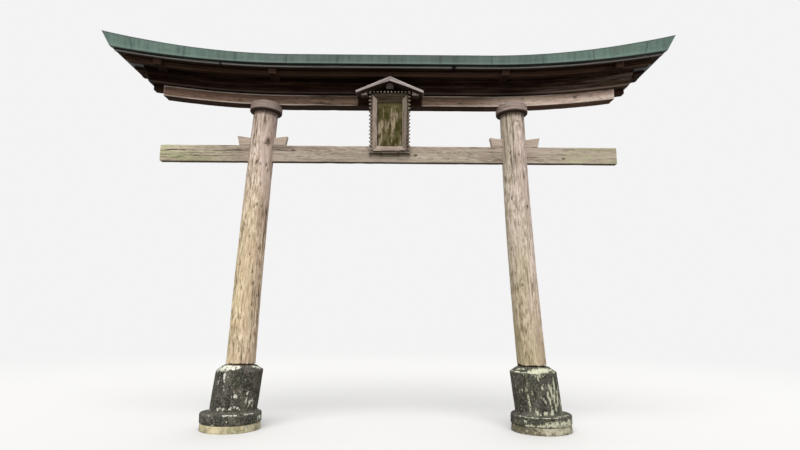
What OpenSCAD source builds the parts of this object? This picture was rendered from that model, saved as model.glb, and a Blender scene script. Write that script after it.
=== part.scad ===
// Wooden torii gate with a copper-clad roofed top beam and a small roofed tablet.
// Millimetres. +X is right seen from the front, the front faces -Y, +Z is up.
// The origin is on the ground, midway between the two footings.

/* [Footings and base stones] */
// Radius of the round footing under each base stone
footing_r = 244; // [200:1:300]
// Height of the footing above the ground
footing_h = 60; // [30:1:120]
// How much less the footing's radius is at its top
footing_batter = 4; // [0:1:15]
// Radius of the flange at the foot of the base stone
flange_r = 246; // [215:1:290]
// Height of that flange
flange_h = 86; // [50:1:120]
// Rounding of the flange's upper edge
flange_round = 14; // [4:1:30]
// Distance from the gate's centre line to the flange's centre
flange_x = 1263; // [1240:1:1290]
// Distance from the gate's centre line to the middle of the drum's foot
drum_x = 1243; // [1225:1:1270]
// Radius of the drum of the base stone
drum_r = 190; // [175:1:205]
// Height of the drum
drum_h = 328; // [250:1:420]
// How far the drum's top stands nearer to the centre line than its foot
drum_shift = 38; // [0:1:60]
// Width of the level ledge round the drum's rim
drum_ledge = 6; // [2:1:15]
// Height of the shallow dome from the drum's rim up to the pillar's seat
dome_h = 33; // [15:1:60]
// Radius of the flat seat on top of the dome
seat_r = 128; // [125:1:150]

/* [Pillars] */
// Radius of a pillar at its foot
pillar_foot_r = 120; // [105:1:124]
// Radius of a pillar at its head
pillar_head_r = 107; // [90:1:118]
// Height of a pillar between its seat and the underside of the cap ring
pillar_h = 2155; // [1900:5:2400]
// Distance from the centre line to the pillar's foot
pillar_foot_x = 1200; // [1180:1:1215]
// How far each pillar leans in over its height
pillar_lean = 114; // [60:1:160]
// Sideways bow of the left log at mid height
bow_left = -9; // [-20:1:20]
// Sideways bow of the right log at mid height
bow_right = -15; // [-20:1:20]
// Bevel round the pillar's foot
foot_bevel = 10; // [2:1:20]
// Sides of the log's outline
log_sides = 28; // [16:2:36]

/* [Cap rings] */
// Radius of the cap ring on the head of a pillar
ring_r = 140; // [125:1:160]
// Height of the cap ring
ring_h = 84; // [60:1:110]
// Rounding of the cap ring's edges
ring_round = 12; // [4:1:24]
// How deep the lower lintel is let into the cap ring
ring_let_in = 20; // [8:1:30]

/* [Tie beam and wedges] */
// Half the length of the tie beam
tie_half = 1986; // [1700:2:2200]
// Height of the tie beam's face
tie_h = 146; // [120:1:180]
// Thickness of the tie beam
tie_t = 61; // [45:1:80]
// Open height between the tie beam and the lower lintel
tie_gap = 352; // [300:1:420]
// Half the length of a pair of wedges
wedge_half = 218; // [180:1:260]
// Height of a wedge in the middle of the pillar
wedge_thin = 53; // [30:1:70]
// Height of a wedge at its outer end
wedge_thick = 84; // [72:1:110]
// How far the wedge's end face slopes out
wedge_slant = 18; // [0:1:30]

/* [Lintels] */
// Half the length of the lower lintel
low_half = 1980; // [1700:2:2100]
// Height of the lower lintel's face
low_h = 97; // [80:1:130]
// Thickness of the lower lintel
low_t = 126; // [100:1:150]
// Half the length of the upper lintel along its lower edge
up_half = 2105; // [2060:1:2200]
// Height of the upper lintel
up_h = 182; // [160:1:230]
// Thickness of the upper lintel
up_t = 188; // [150:1:200]
// Slope of the upper lintel's ends, outward over upward
up_slant = 0.4; // [0:0.05:0.7]
// How far the ends of the tongue under the upper lintel stand back from the lintel's ends
tongue_back = 25; // [5:1:60]
// Width of that tongue
tongue_w = 70; // [40:1:90]
// Height of that tongue, which is let into the lower lintel's top
tongue_h = 50; // [30:1:70]
// Clearance at the sides of a tongue and at an iron hook
joint_gap = 0.3; // [0.1:0.1:1]

/* [Upward curve of the beams] */
// Distance from the centre line at which the beams start to rise
curve_start = 800; // [600:10:1000]
// Rise of every beam at the reference distance
curve_rise = 153; // [80:1:200]
// Reference distance at which that rise is reached
curve_reach = 2400; // [2300:10:2500]
// Length of the straight stretches that make up the curve
curve_step = 160; // [120:10:320]

/* [Bracket arms and eaves] */
// Distance from the centre line to the inner bracket arms
arm_inner_x = 993; // [850:1:1100]
// Distance from the end of the upper lintel to the middle of the outer bracket arms
arm_end = 133; // [60:1:220]
// Width of a bracket arm
arm_w = 66; // [40:1:80]
// Height of a bracket arm
arm_h = 52; // [46:1:70]
// How far a bracket arm reaches out from the middle of the lintel
arm_reach = 254; // [220:1:262]
// Half the length of an eaves purlin along its lower edge
purlin_half = 2240; // [2180:1:2290]
// Height of an eaves purlin
purlin_h = 45; // [30:1:60]
// Thickness of an eaves purlin
purlin_t = 50; // [30:1:60]
// Distance from the gate's middle plane to a purlin's outer face
purlin_out = 200; // [190:1:210]
// Thickness of the soffit boards
soffit_t = 20; // [12:1:30]
// Height of the drip board
drip_h = 28; // [22:1:45]
// Thickness of the drip board
drip_t = 25; // [15:1:35]
// Half the length of the soffit and drip boards
soffit_half = 2322; // [2300:1:2340]

/* [Copper-clad roof] */
// Distance from the gate's middle plane to the outer face of the copper edge
eave_out = 330; // [310:1:360]
// Thickness of the copper-clad edge board
edge_t = 40; // [25:1:55]
// Height of the copper edge at the middle
edge_h = 82; // [60:1:100]
// How much higher the copper edge is at its ends
edge_extra = 42; // [0:1:70]
// How far the copper edge hangs below the roof's bed
edge_drop = 10; // [2:1:20]
// Half the length of the copper edge along its foot
edge_half = 2346; // [2330:1:2380]
// Slope of the roof's ends, outward over upward
end_slant = 0.64; // [0.2:0.02:0.8]
// Pitch of the roof in degrees
roof_pitch = 19; // [12:0.5:24]
// Half the width of the flat under the ridge cap
ridge_flat = 36; // [25:1:50]
// Half the width of the ridge cap
cap_half = 42; // [30:1:60]
// Height of the ridge cap
cap_h = 24; // [12:1:40]
// How far the ridge cap's ends stand back from the ends of the ridge
cap_back = 12; // [2:1:60]

/* [Centre strut] */
// Width of the strut between the tie beam and the lower lintel
strut_w = 150; // [100:1:200]

/* [Tablet] */
// Sideways place of the tablet's centre
tablet_x = 8; // [-30:1:30]
// Height of the tablet's foot above the tie beam's lower edge
tablet_foot = 69; // [40:1:90]
// Height of the tablet's head above the backboard's upper edge
tablet_over = 7; // [0:1:14]
// How far the tablet's head stands in front of its foot
tablet_out = 150; // [110:1:170]
// Half the width of the panel's opening
panel_half = 106; // [85:1:125]
// Width of a frame rail's flat face
rail_w = 41; // [25:1:55]
// Depth of a frame rail
rail_t = 42; // [32:1:50]
// Width of the scalloped rim outside the rails
rim_w = 32; // [22:1:38]
// Thickness of that rim
rim_t = 16; // [8:1:24]
// Distance of the rim's back from the tablet's back
rim_back = 8; // [0:1:14]
// Pitch of the scallops along the rim
scallop_pitch = 31; // [24:1:40]
// Radius of the notch between two scallops
scallop_r = 7.5; // [5:0.5:9]
// Depth of such a notch to the middle of its round end
scallop_deep = 15; // [4:0.5:18]
// Thickness of the tablet's panel
panel_t = 16; // [10:1:22]
// Distance of the panel's back from the tablet's back
panel_back = 5; // [0:1:8]
// Height of the ledge under the top rail
ledge_h = 23; // [12:1:32]
// How far the ledge stands in front of the panel
ledge_out = 10; // [4:1:18]

/* [Tablet fixings] */
// Half the length of the backboard on the lower lintel
board_half = 278; // [255:1:300]
// Gap between the backboard and the upper lintel above it
board_gap = 16; // [0:1:30]
// Thickness of the backboard
board_t = 37; // [26:1:50]
// How far the backboard reaches below the lower lintel
board_drop = 9; // [0:1:20]
// Distance of each iron hook and stay from the tablet's centre
iron_x = 76; // [60:1:95]
// Width of the iron hooks and stays
iron_w = 9; // [6:1:14]
// Thickness of the iron hooks and stays
iron_t = 6; // [4:1:10]
// Height of a hook's upturned tip
hook_tip = 21; // [12:1:23]
// Height of the stays above the backboard's lower edge
stay_up = 12; // [0:1:40]

/* [Tablet roof] */
// Half the width of the tablet's roof
hood_half = 290; // [275:1:320]
// Distance from the gate's middle plane to the front of the tablet's roof
hood_out = 262; // [250:1:280]
// Gap between the roof's apex and the eaves purlin above it
hood_gap = 22; // [10:1:40]
// Pitch of the tablet's roof in degrees
hood_pitch = 24.1; // [18:0.1:28]
// Thickness of the roof boards
hood_board_t = 15; // [10:1:20]
// Thickness of the bargeboards
barge_t = 16; // [10:1:20]
// Height of a bargeboard at its outer end
barge_end_h = 24; // [18:1:32]
// Height of the bargeboards where they meet
barge_mid_h = 43; // [34:1:56]
// Width of the ridge beam of the tablet's roof
hood_ridge_w = 62; // [40:1:80]
// Height of that ridge beam
hood_ridge_h = 54; // [40:1:64]
// How far that ridge beam's front stands behind the bargeboards
hood_ridge_back = 90; // [20:1:110]
// Width of an eaves purlin of the tablet's roof
hood_purlin_w = 56; // [40:1:75]
// Distance from the tablet's centre to the middle of such a purlin
hood_purlin_x = 220; // [205:1:230]
// Height of such a purlin's outer side
hood_purlin_h = 11; // [8:1:30]
// How far such a purlin's front stands behind the bargeboards
hood_purlin_back = 68; // [20:1:110]

/* [Hidden] */
$fn = 64;

// Heights of the main joints above the ground
drum_z = footing_h + flange_h;
rim_z = drum_z + drum_h;
seat_z = rim_z + dome_h;
head_z = seat_z + pillar_h;
pillar_head_x = pillar_foot_x - pillar_lean;
lean = atan(pillar_lean / pillar_h);
low_z = head_z + ring_h - ring_let_in - rise(pillar_head_x);
tie_top_z = low_z - tie_gap;
tie_z = tie_top_z - tie_h;
up_z = low_z + low_h;
bed_z = up_z + up_h;
soffit_z = bed_z - soffit_t;
purlin_z = soffit_z - purlin_h;
arm_z = soffit_z - arm_h;
lap_z = purlin_z + purlin_h / 2;
arm_outer_x = up_half - arm_end;
tongue_half = up_half - tongue_back;
arm_places = [-arm_outer_x, -arm_inner_x, arm_inner_x, arm_outer_x];
edge_z = bed_z - edge_drop;
edge_in = eave_out - edge_t;
roof_low_z = edge_z + edge_h;
ridge_z = roof_low_z + (edge_in - ridge_flat) * tan(roof_pitch);

// Places of the backboard
board_z = low_z - board_drop;
board_top_z = up_z - board_gap;
board_h = board_top_z - board_z;
board_out = low_t / 2 + board_t;

// Lean, length and local places of the tablet
tablet_z = tie_z + tablet_foot;
tablet_rise = board_top_z + tablet_over - tablet_z;
tablet_lean = atan(tablet_out / tablet_rise);
frame_h = tablet_rise / cos(tablet_lean);
opening_low = rail_w + rim_w;
opening_high = frame_h - rail_w - rim_w;

// Places of the tablet's roof
hood_apex_z = purlin_z - hood_gap;
hood_in = up_t / 2;
barge_foot = hood_half - barge_end_h * sin(hood_pitch) * cos(hood_pitch);

// Sections along a pillar, and steps along a bargeboard's curved edge
log_steps = 10;
barge_steps = 6;

// Rise of the curve at its k-th station: it grows with the square of the distance
function station_rise(k) = curve_rise * pow(k * curve_step / (curve_reach - curve_start), 2);

// Rise of the beams at a distance x from the centre line, in straight stretches between stations
function rise(x) = let (t = max(0, abs(x) - curve_start) / curve_step, k = floor(t))
    station_rise(k) + (t - k) * (station_rise(k + 1) - station_rise(k));

// Stations along a beam from one end to the other, with none closer than 2 mm to an end
function stations(half) =
    let (right = [for (k = [0 : floor((half - curve_start - 2) / curve_step)]) curve_start + k * curve_step],
         n = len(right))
    concat([-half], [for (i = [n - 1 : -1 : 0]) -right[i]], right, [half]);

// How much the copper edge has grown in height at a distance x from the centre line
function growth(x) = edge_extra * rise(x) / rise(edge_half);

// Elevation of a rising beam whose ends slope outward by slant; its lower and upper side
// follow the growth of the copper edge where low_grows and top_grows are 1
function beam_outline(half, z, h, slant = 0, low_grows = 0, top_grows = 0) =
    let (top_half = half + slant * (h + edge_extra * top_grows),
         low = stations(half),
         high = stations(top_half),
         last = len(high) - 1)
    concat(
        [for (x = low) [x, z + rise(x) + growth(x) * low_grows]],
        [for (i = [last : -1 : 0]) let (x = high[i]) [x, z + h + rise(x) + growth(x) * top_grows]]);

// A rising beam that reaches from y_from to y_to
module rising_beam(half, z, h, y_from, y_to, slant = 0, low_grows = 0, top_grows = 0) {
    translate([0, y_to, 0])
        rotate([90, 0, 0])
            linear_extrude(height = y_to - y_from)
                polygon(beam_outline(half, z, h, slant, low_grows, top_grows));
}

// An outline in the Y-Z plane, extruded by w about the plane x
module across(x, w, points) {
    translate([x - w / 2, 0, 0])
        rotate([90, 0, 90])
            linear_extrude(height = w)
                polygon(points);
}

// Round footing
module footing(side) {
    color("darkkhaki")
        translate([side * flange_x, 0, 0])
            cylinder(h = footing_h, r1 = footing_r, r2 = footing_r - footing_batter);
}

// Profile of the flange: a disc with a rounded upper edge
function flange_profile() = concat(
    [[0, 0], [flange_r, 0]],
    [for (a = [0 : 22.5 : 90])
        [flange_r - flange_round + flange_round * cos(a), flange_h - flange_round + flange_round * sin(a)]],
    [[0, flange_h]]);

// Base stone: a flange, a leaning drum with level ends, and a shallow dome up to the seat
module base_stone(side) {
    drum_lean = atan(drum_shift / drum_h);
    drum_top_x = drum_x - drum_shift;
    spare = 60;
    reach = 2 * drum_r;
    color("dimgray") {
        translate([side * flange_x, 0, footing_h])
            rotate_extrude()
                polygon(flange_profile());
        intersection() {
            translate([side * drum_x, 0, drum_z])
                rotate([0, -side * drum_lean, 0])
                    translate([0, 0, -spare])
                        cylinder(h = drum_h + 2 * spare, r = drum_r);
            translate([side * drum_x - reach, -reach, drum_z - 1])
                cube([2 * reach, 2 * reach, drum_h + 1]);
        }
        translate([side * drum_top_x, 0, rim_z])
            cylinder(h = dome_h, r1 = drum_r - drum_ledge, r2 = seat_r);
    }
}

// Centre of the log's section at a share s of its height, with its sideways bow
function log_centre(side, s) =
    let (bow = side < 0 ? bow_left : bow_right)
    [side * (pillar_foot_x - pillar_lean * s) + 4 * s * (1 - s) * bow, seat_z + pillar_h * s];

// Share of the height and radius at each section of the log: a bevelled foot, then an even taper
function log_sections() = concat(
    [[0, pillar_foot_r - foot_bevel], [foot_bevel / pillar_h, pillar_foot_r]],
    [for (k = [1 : log_steps]) let (s = k / log_steps)
        [s, pillar_foot_r + (pillar_head_r - pillar_foot_r) * s]]);

// Points of one section, level at the foot and square to the axis at the head
function log_ring(side, s, r) =
    let (c = log_centre(side, s))
    [for (i = [0 : log_sides - 1]) let (a = 360 * i / log_sides, dx = r * cos(a))
        [c[0] + dx, r * sin(a), c[1] + side * s * dx * tan(lean)]];

// The log: rings of points joined by side faces, closed at both ends
module log(side) {
    sections = log_sections();
    rings = len(sections);
    points = [for (k = sections) each log_ring(side, k[0], k[1])];
    sides = [for (k = [0 : rings - 2], i = [0 : log_sides - 1]) let (j = (i + 1) % log_sides)
        each [[k * log_sides + i, (k + 1) * log_sides + i, (k + 1) * log_sides + j],
              [k * log_sides + i, (k + 1) * log_sides + j, k * log_sides + j]]];
    foot = [for (i = [0 : log_sides - 1]) i];
    head = [for (i = [log_sides - 1 : -1 : 0]) (rings - 1) * log_sides + i];
    polyhedron(points = points, faces = concat([foot], sides, [head]));
}

// Distance from the centre line to the pillar's axis at the tie beam
function tie_cross_x() = pillar_foot_x - pillar_lean * (tie_top_z - seat_z) / pillar_h;

// Wedge that is driven in from one side: dir is +1 for the end away from the centre line
module wedge_shape(side, dir) {
    c = side * tie_cross_x();
    d = side * dir;
    translate([0, tie_t / 2, tie_top_z])
        rotate([90, 0, 0])
            linear_extrude(height = tie_t)
                polygon([[c, 0], [c + d * (wedge_half - wedge_slant), 0],
                         [c + d * wedge_half, wedge_thick], [c, wedge_thin]]);
}

module wedge(side, dir) {
    color("tan") wedge_shape(side, dir);
}

module tie_beam_shape() {
    translate([-tie_half, -tie_t / 2, tie_z])
        cube([2 * tie_half, tie_t, tie_h]);
}

// Pillar: the log with one mortise for the tie beam and its wedges
module pillar(side) {
    color("wheat")
        difference() {
            log(side);
            tie_beam_shape();
            wedge_shape(side, 1);
            wedge_shape(side, -1);
        }
}

// Profile of the cap ring: a disc with rounded edges
function ring_profile() =
    let (edge = ring_r - ring_round)
    concat(
        [[0, 0]],
        [for (a = [-90 : 22.5 : 0]) [edge + ring_round * cos(a), ring_round + ring_round * sin(a)]],
        [for (a = [0 : 22.5 : 90]) [edge + ring_round * cos(a), ring_h - ring_round + ring_round * sin(a)]],
        [[0, ring_h]]);

// Cap ring: square to the pillar, with the lower lintel let into its top
module cap_ring(side) {
    color("rosybrown")
        difference() {
            translate([side * pillar_head_x, 0, head_z])
                rotate([0, -side * lean, 0])
                    rotate_extrude()
                        polygon(ring_profile());
            rising_beam(low_half, low_z, low_h, -low_t / 2, low_t / 2);
        }
}

module tie_beam() {
    color("tan") tie_beam_shape();
}

// Lower lintel with a groove along its top for the upper lintel's tongue
module lower_lintel() {
    groove = tongue_w / 2 + joint_gap;
    color("burlywood")
        difference() {
            rising_beam(low_half, low_z, low_h, -low_t / 2, low_t / 2);
            rising_beam(tongue_half, up_z - tongue_h, tongue_h + up_h, -groove, groove);
        }
}

// Bar across the gate about the plane x that follows the curve, from height z up by h
module arm_bar(x, z, h) {
    intersection() {
        rising_beam(abs(x) + arm_w, z, h, -arm_reach, arm_reach);
        translate([x - arm_w / 2, -arm_reach, z])
            cube([arm_w, 2 * arm_reach, h + rise(abs(x) + arm_w)]);
    }
}

// Bracket arm through the upper lintel, halved over both eaves purlins
module bracket_arm(x) {
    color("saddlebrown")
        difference() {
            arm_bar(x, arm_z, arm_h);
            for (dir = [-1, 1])
                eaves_beam(dir, abs(x) + arm_w, lap_z, soffit_z - lap_z, purlin_out - purlin_t, purlin_out);
        }
}

// Upper lintel with a mortise for each bracket arm and a tongue along its underside
module upper_lintel() {
    color("sienna") {
        difference() {
            rising_beam(up_half, up_z, up_h, -up_t / 2, up_t / 2, up_slant);
            for (x = arm_places)
                arm_bar(x, arm_z, arm_h);
        }
        rising_beam(tongue_half, up_z - tongue_h, tongue_h, -tongue_w / 2, tongue_w / 2);
    }
}

// A rising beam that lies from y_in to y_out off the middle plane, on the front or the back
module eaves_beam(dir, half, z, h, y_in, y_out, slant = 0, top_grows = 0) {
    if (dir < 0)
        rising_beam(half, z, h, -y_out, -y_in, slant, 0, top_grows);
    else
        rising_beam(half, z, h, y_in, y_out, slant, 0, top_grows);
}

// Eaves purlin, halved where it lies on the bracket arms
module eaves_purlin(dir) {
    color("rosybrown")
        difference() {
            eaves_beam(dir, purlin_half, purlin_z, purlin_h, purlin_out - purlin_t, purlin_out, end_slant);
            for (x = arm_places)
                arm_bar(x, arm_z, lap_z - arm_z);
        }
}

module soffit(dir) {
    color("saddlebrown")
        eaves_beam(dir, soffit_half, soffit_z, soffit_t, up_t / 2, edge_in - drip_t, end_slant);
}

module drip_board(dir) {
    color("silver")
        eaves_beam(dir, soffit_half, bed_z - drip_h, drip_h, edge_in - drip_t, edge_in, end_slant);
}

module copper_edge(dir) {
    color("darkseagreen")
        eaves_beam(dir, edge_half, edge_z, edge_h, edge_in, eave_out, end_slant, 1);
}

// Prism whose top runs up from the copper edge to the ridge at the roof's pitch
module roof_slope(dir) {
    reach = edge_in / cos(roof_pitch);
    margin = 400;
    depth = 600;
    outline = beam_outline(edge_half + margin, -depth, depth + edge_h, 0, 1, 1);
    translate([0, dir * edge_in, edge_z])
        rotate([90 - dir * roof_pitch, 0, 0])
            translate([0, 0, dir < 0 ? -reach - margin : -margin])
                linear_extrude(height = reach + 2 * margin)
                    polygon([for (p = outline) [p[0], p[1] * cos(roof_pitch)]]);
}

// One slope of the copper-clad roof: solid from its bed to the pitched top, cut flat under the ridge cap
module copper_roof(dir) {
    color("darkseagreen")
        intersection() {
            roof_slope(dir);
            eaves_beam(dir, edge_half + end_slant * edge_drop, bed_z, ridge_z - bed_z, 0, edge_in,
                       end_slant, 1);
        }
}

module ridge_cap() {
    color("darkseagreen")
        rising_beam(edge_half + end_slant * (ridge_z - edge_z + edge_extra) - cap_back, ridge_z, cap_h,
                    -cap_half, cap_half, 0, 1, 1);
}

module centre_strut() {
    color("tan")
        translate([-strut_w / 2, -tie_t / 2, tie_top_z])
            cube([strut_w, tie_t, low_z - tie_top_z]);
}

// Carries its children onto the leaning tablet: x across, y back from the front, z up along the face
module on_tablet() {
    translate([tablet_x, -tie_t / 2, tablet_z])
        rotate([tablet_lean, 0, 0])
            children();
}

// Plate in the plane of the tablet, from back to back + depth
module tablet_plate(points, back, depth) {
    on_tablet()
        translate([0, -back, 0])
            rotate([90, 0, 0])
                linear_extrude(height = depth)
                    polygon(points);
}

module tablet_panel() {
    color("olive")
        tablet_plate([[-panel_half, opening_low], [panel_half, opening_low],
                      [panel_half, opening_high], [-panel_half, opening_high]], panel_back, panel_t);
}

// Corner of the frame at a distance d outside the panel's opening; sx and sz are -1 or 1
function frame_corner(sx, sz, d) = [sx * (panel_half + d), sz < 0 ? opening_low - d : opening_high + d];

// Mitred strip along one side of the frame, from distance d0 to d1 outside the opening
module mitred_strip(from, to, d0, d1, back, depth) {
    tablet_plate([frame_corner(from[0], from[1], d0), frame_corner(to[0], to[1], d0),
                  frame_corner(to[0], to[1], d1), frame_corner(from[0], from[1], d1)], back, depth);
}

// Round-ended notches between the scallops along the outer edge of one side
module scallop_notches(from, to) {
    a = frame_corner(from[0], from[1], rail_w + rim_w);
    b = frame_corner(to[0], to[1], rail_w + rim_w);
    count = round(norm(b - a) / scallop_pitch);
    inward = [from[0] == to[0] ? -from[0] : 0, 0, from[1] == to[1] ? -from[1] : 0];
    slot = from[0] == to[0] ? [scallop_deep + 2, rail_t + 2, 2 * scallop_r]
                            : [2 * scallop_r, rail_t + 2, scallop_deep + 2];
    on_tablet()
        for (i = [1 : count - 1])
            translate([a[0] + (b[0] - a[0]) * i / count, 0, a[1] + (b[1] - a[1]) * i / count]) {
                translate(inward * scallop_deep)
                    rotate([90, 0, 0])
                        cylinder(h = rail_t + 2, r = scallop_r, $fn = 24);
                translate(inward * (scallop_deep / 2 - 1) + [0, -rail_t / 2 - 1, 0])
                    cube(slot, center = true);
            }
}

// Rail of the frame with its rim, which is carved into scallops but for the foot's
module tablet_rail(from, to, carved = true) {
    mitred_strip(from, to, 0, rail_w, 0, rail_t);
    difference() {
        mitred_strip(from, to, rail_w / 2, rail_w + rim_w, rim_back, rim_t);
        if (carved)
            scallop_notches(from, to);
    }
}

// Top rail with the ledge under it
module tablet_rail_top() {
    color("tan") {
        tablet_rail([-1, 1], [1, 1]);
        tablet_plate([[-panel_half, opening_high - ledge_h], [panel_half, opening_high - ledge_h],
                      [panel_half, opening_high + rail_w / 2], [-panel_half, opening_high + rail_w / 2]],
                     panel_back + panel_t, ledge_out);
    }
}

module tablet_side_rail(from, to, carved = true) {
    color("tan") tablet_rail(from, to, carved);
}

module backboard_shape() {
    translate([tablet_x - board_half, -board_out, board_z])
        cube([2 * board_half, board_t, board_h]);
}

module tablet_backboard() {
    color("saddlebrown") backboard_shape();
}

// Two iron hooks that carry the tablet's foot
module tablet_hooks() {
    foot_front = tie_t / 2 + (rim_back + rim_t) * cos(tablet_lean) + joint_gap;
    shelf_z = tablet_z - (rim_back + rim_t) * sin(tablet_lean);
    tip_y = hook_tip * sin(tablet_lean);
    tip_z = hook_tip * cos(tablet_lean);
    color("dimgray")
        for (dx = [-iron_x, iron_x])
            across(tablet_x + dx, iron_w, [
                [-tie_t / 2, shelf_z - iron_t], [-tie_t / 2, shelf_z], [-foot_front, shelf_z],
                [-foot_front - tip_y, shelf_z + tip_z], [-foot_front - tip_y - iron_t, shelf_z + tip_z],
                [-foot_front - iron_t, shelf_z - iron_t]]);
}

// Distance of the tablet's back from the gate's middle plane at height z
function tablet_back_at(z) = tie_t / 2 + (z - tablet_z) * tan(tablet_lean);

// Two iron stays from the backboard to the back of the top rail
module tablet_stays() {
    low = board_z + stay_up;
    color("dimgray")
        for (dx = [-iron_x, iron_x])
            across(tablet_x + dx, iron_w, [
                [-board_out, low], [-board_out, low + iron_t],
                [-tablet_back_at(low + iron_t), low + iron_t], [-tablet_back_at(low), low]]);
}

// Underside of the hood's boards at a distance d from the tablet's centre
function hood_under(d) = hood_apex_z - (d * sin(hood_pitch) + hood_board_t) / cos(hood_pitch);

// Outline in elevation, extruded from the distance y_in to y_out in front of the gate's middle plane
module hood_prism(points, y_in, y_out) {
    translate([tablet_x, -y_in, 0])
        rotate([90, 0, 0])
            linear_extrude(height = y_out - y_in)
                polygon(points);
}

module hood_ridge_beam() {
    h = hood_ridge_w / 2;
    low = hood_under(0) - hood_ridge_h;
    color("rosybrown")
        hood_prism([[-h, low], [h, low], [h, hood_under(h)], [0, hood_under(0)], [-h, hood_under(h)]],
                   hood_in, hood_out - barge_t - hood_ridge_back);
}

// Purlins on both sides, butted against the backboard, level below and sloped above
module hood_purlins() {
    near = hood_purlin_x - hood_purlin_w / 2;
    far = hood_purlin_x + hood_purlin_w / 2;
    low = hood_under(far) - hood_purlin_h;
    color("silver")
        for (side = [-1, 1])
            hood_prism([[side * near, low], [side * far, low],
                        [side * far, hood_under(far)], [side * near, hood_under(near)]],
                       board_out, hood_out - barge_t - hood_purlin_back);
}

// Sloping board of the hood, square at its eave and cut out round the backboard
module hood_board(side) {
    c = cos(hood_pitch);
    s = sin(hood_pitch);
    length = hood_half / c;
    color("gainsboro")
        difference() {
            hood_prism([[0, hood_apex_z], [side * length * c, hood_apex_z - length * s],
                        [side * (length * c - hood_board_t * s), hood_apex_z - length * s - hood_board_t * c],
                        [0, hood_apex_z - hood_board_t / c]],
                       hood_in, hood_out - barge_t);
            backboard_shape();
        }
}

// Height of a bargeboard at a distance d from the middle, growing in a curve towards the middle
function barge_height(d) = barge_end_h + (barge_mid_h - barge_end_h) * pow(1 - d / barge_foot, 2);

// Bargeboard at the hood's front, with its outer end cut square to the slope
module hood_bargeboard(side) {
    color("whitesmoke")
        hood_prism(concat(
            [[0, hood_apex_z], [side * hood_half, hood_apex_z - hood_half * tan(hood_pitch)]],
            [for (k = [barge_steps : -1 : 0]) let (d = barge_foot * k / barge_steps)
                [side * d, hood_apex_z - d * tan(hood_pitch) - barge_height(d)]]),
            hood_out - barge_t, hood_out);
}

footing(-1);  // footing_left
footing(1);  // footing_right
base_stone(-1);  // base_stone_left
base_stone(1);  // base_stone_right
pillar(-1);  // pillar_left
pillar(1);  // pillar_right
cap_ring(-1);  // cap_ring_left
cap_ring(1);  // cap_ring_right
tie_beam();
wedge(-1, 1);  // wedge_left_outer
wedge(-1, -1);  // wedge_left_inner
wedge(1, -1);  // wedge_right_inner
wedge(1, 1);  // wedge_right_outer
lower_lintel();
upper_lintel();
bracket_arm(-arm_outer_x);  // bracket_arm_left_outer
bracket_arm(-arm_inner_x);  // bracket_arm_left_inner
bracket_arm(arm_inner_x);  // bracket_arm_right_inner
bracket_arm(arm_outer_x);  // bracket_arm_right_outer
eaves_purlin(-1);  // eaves_purlin_front
eaves_purlin(1);  // eaves_purlin_back
soffit(-1);  // soffit_front
soffit(1);  // soffit_back
drip_board(-1);  // drip_board_front
drip_board(1);  // drip_board_back
copper_edge(-1);  // copper_edge_front
copper_edge(1);  // copper_edge_back
copper_roof(-1);  // copper_roof_front
copper_roof(1);  // copper_roof_back
ridge_cap();
centre_strut();
tablet_panel();
tablet_rail_top();
tablet_side_rail([-1, -1], [1, -1], false);  // tablet_rail_bottom
tablet_side_rail([-1, -1], [-1, 1]);  // tablet_rail_left
tablet_side_rail([1, -1], [1, 1]);  // tablet_rail_right
tablet_backboard();
tablet_hooks();
tablet_stays();
hood_ridge_beam();
hood_purlins();
hood_board(-1);  // hood_board_left
hood_board(1);  // hood_board_right
hood_bargeboard(-1);  // hood_bargeboard_left
hood_bargeboard(1);  // hood_bargeboard_right
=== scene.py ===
"""A weathered timber torii gate with a copper-clad roof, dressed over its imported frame.

Everything is in metres: +X to the right seen from the front, the front faces -Y, +Z is up.
"""

import logging
import math
import random
from dataclasses import dataclass, field, replace
from enum import Enum
from typing import Callable, ClassVar, Iterable, Sequence

import bmesh
import bpy
from bmesh.types import BMesh, BMLayerItem
from mathutils import Matrix, Vector, noise


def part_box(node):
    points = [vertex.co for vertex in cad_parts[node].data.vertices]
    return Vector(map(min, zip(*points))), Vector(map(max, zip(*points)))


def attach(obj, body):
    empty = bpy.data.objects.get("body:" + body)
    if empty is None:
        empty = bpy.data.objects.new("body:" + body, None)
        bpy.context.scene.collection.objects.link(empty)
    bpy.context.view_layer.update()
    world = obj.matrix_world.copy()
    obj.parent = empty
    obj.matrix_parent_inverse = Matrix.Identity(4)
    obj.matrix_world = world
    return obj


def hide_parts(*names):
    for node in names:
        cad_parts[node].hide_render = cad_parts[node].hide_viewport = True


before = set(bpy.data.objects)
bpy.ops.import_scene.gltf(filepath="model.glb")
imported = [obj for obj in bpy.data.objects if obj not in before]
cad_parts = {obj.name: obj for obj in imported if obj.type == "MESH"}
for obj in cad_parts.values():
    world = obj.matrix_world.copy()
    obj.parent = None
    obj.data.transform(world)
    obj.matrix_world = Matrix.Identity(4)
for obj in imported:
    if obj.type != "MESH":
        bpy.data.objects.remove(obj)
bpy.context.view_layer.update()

END_STRETCH = 0.35
PILLAR_RISE = 2.155
SHARP_TURN = math.radians(25.0)
PATCH_REACH = 2.2
WORN, GRAIN, EDGE, CHECK_AND_SHADE, SEAM_AND_SHADE, DARK_UNDER_AND_SHADE, LICHEN = "worn", "grain", "edge", "check", "seam", "under", "lichen"

Colour = tuple[float, float, float]
Triple = tuple[float, float, float]
Socket = bpy.types.NodeSocket
Inputs = dict[str | int, object]

log = logging.getLogger("torii")


class Option(Enum):
    """A choice whose name is part of node names."""

    @property
    def word(self) -> str:
        """The name as it stands in a node's name."""
        return self.name.lower()


class Side(Option):
    """Left or right of the gate, seen from the front."""

    LEFT = -1
    RIGHT = 1


class Face(Option):
    """Front or back of the gate."""

    FRONT = -1
    BACK = 1


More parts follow.
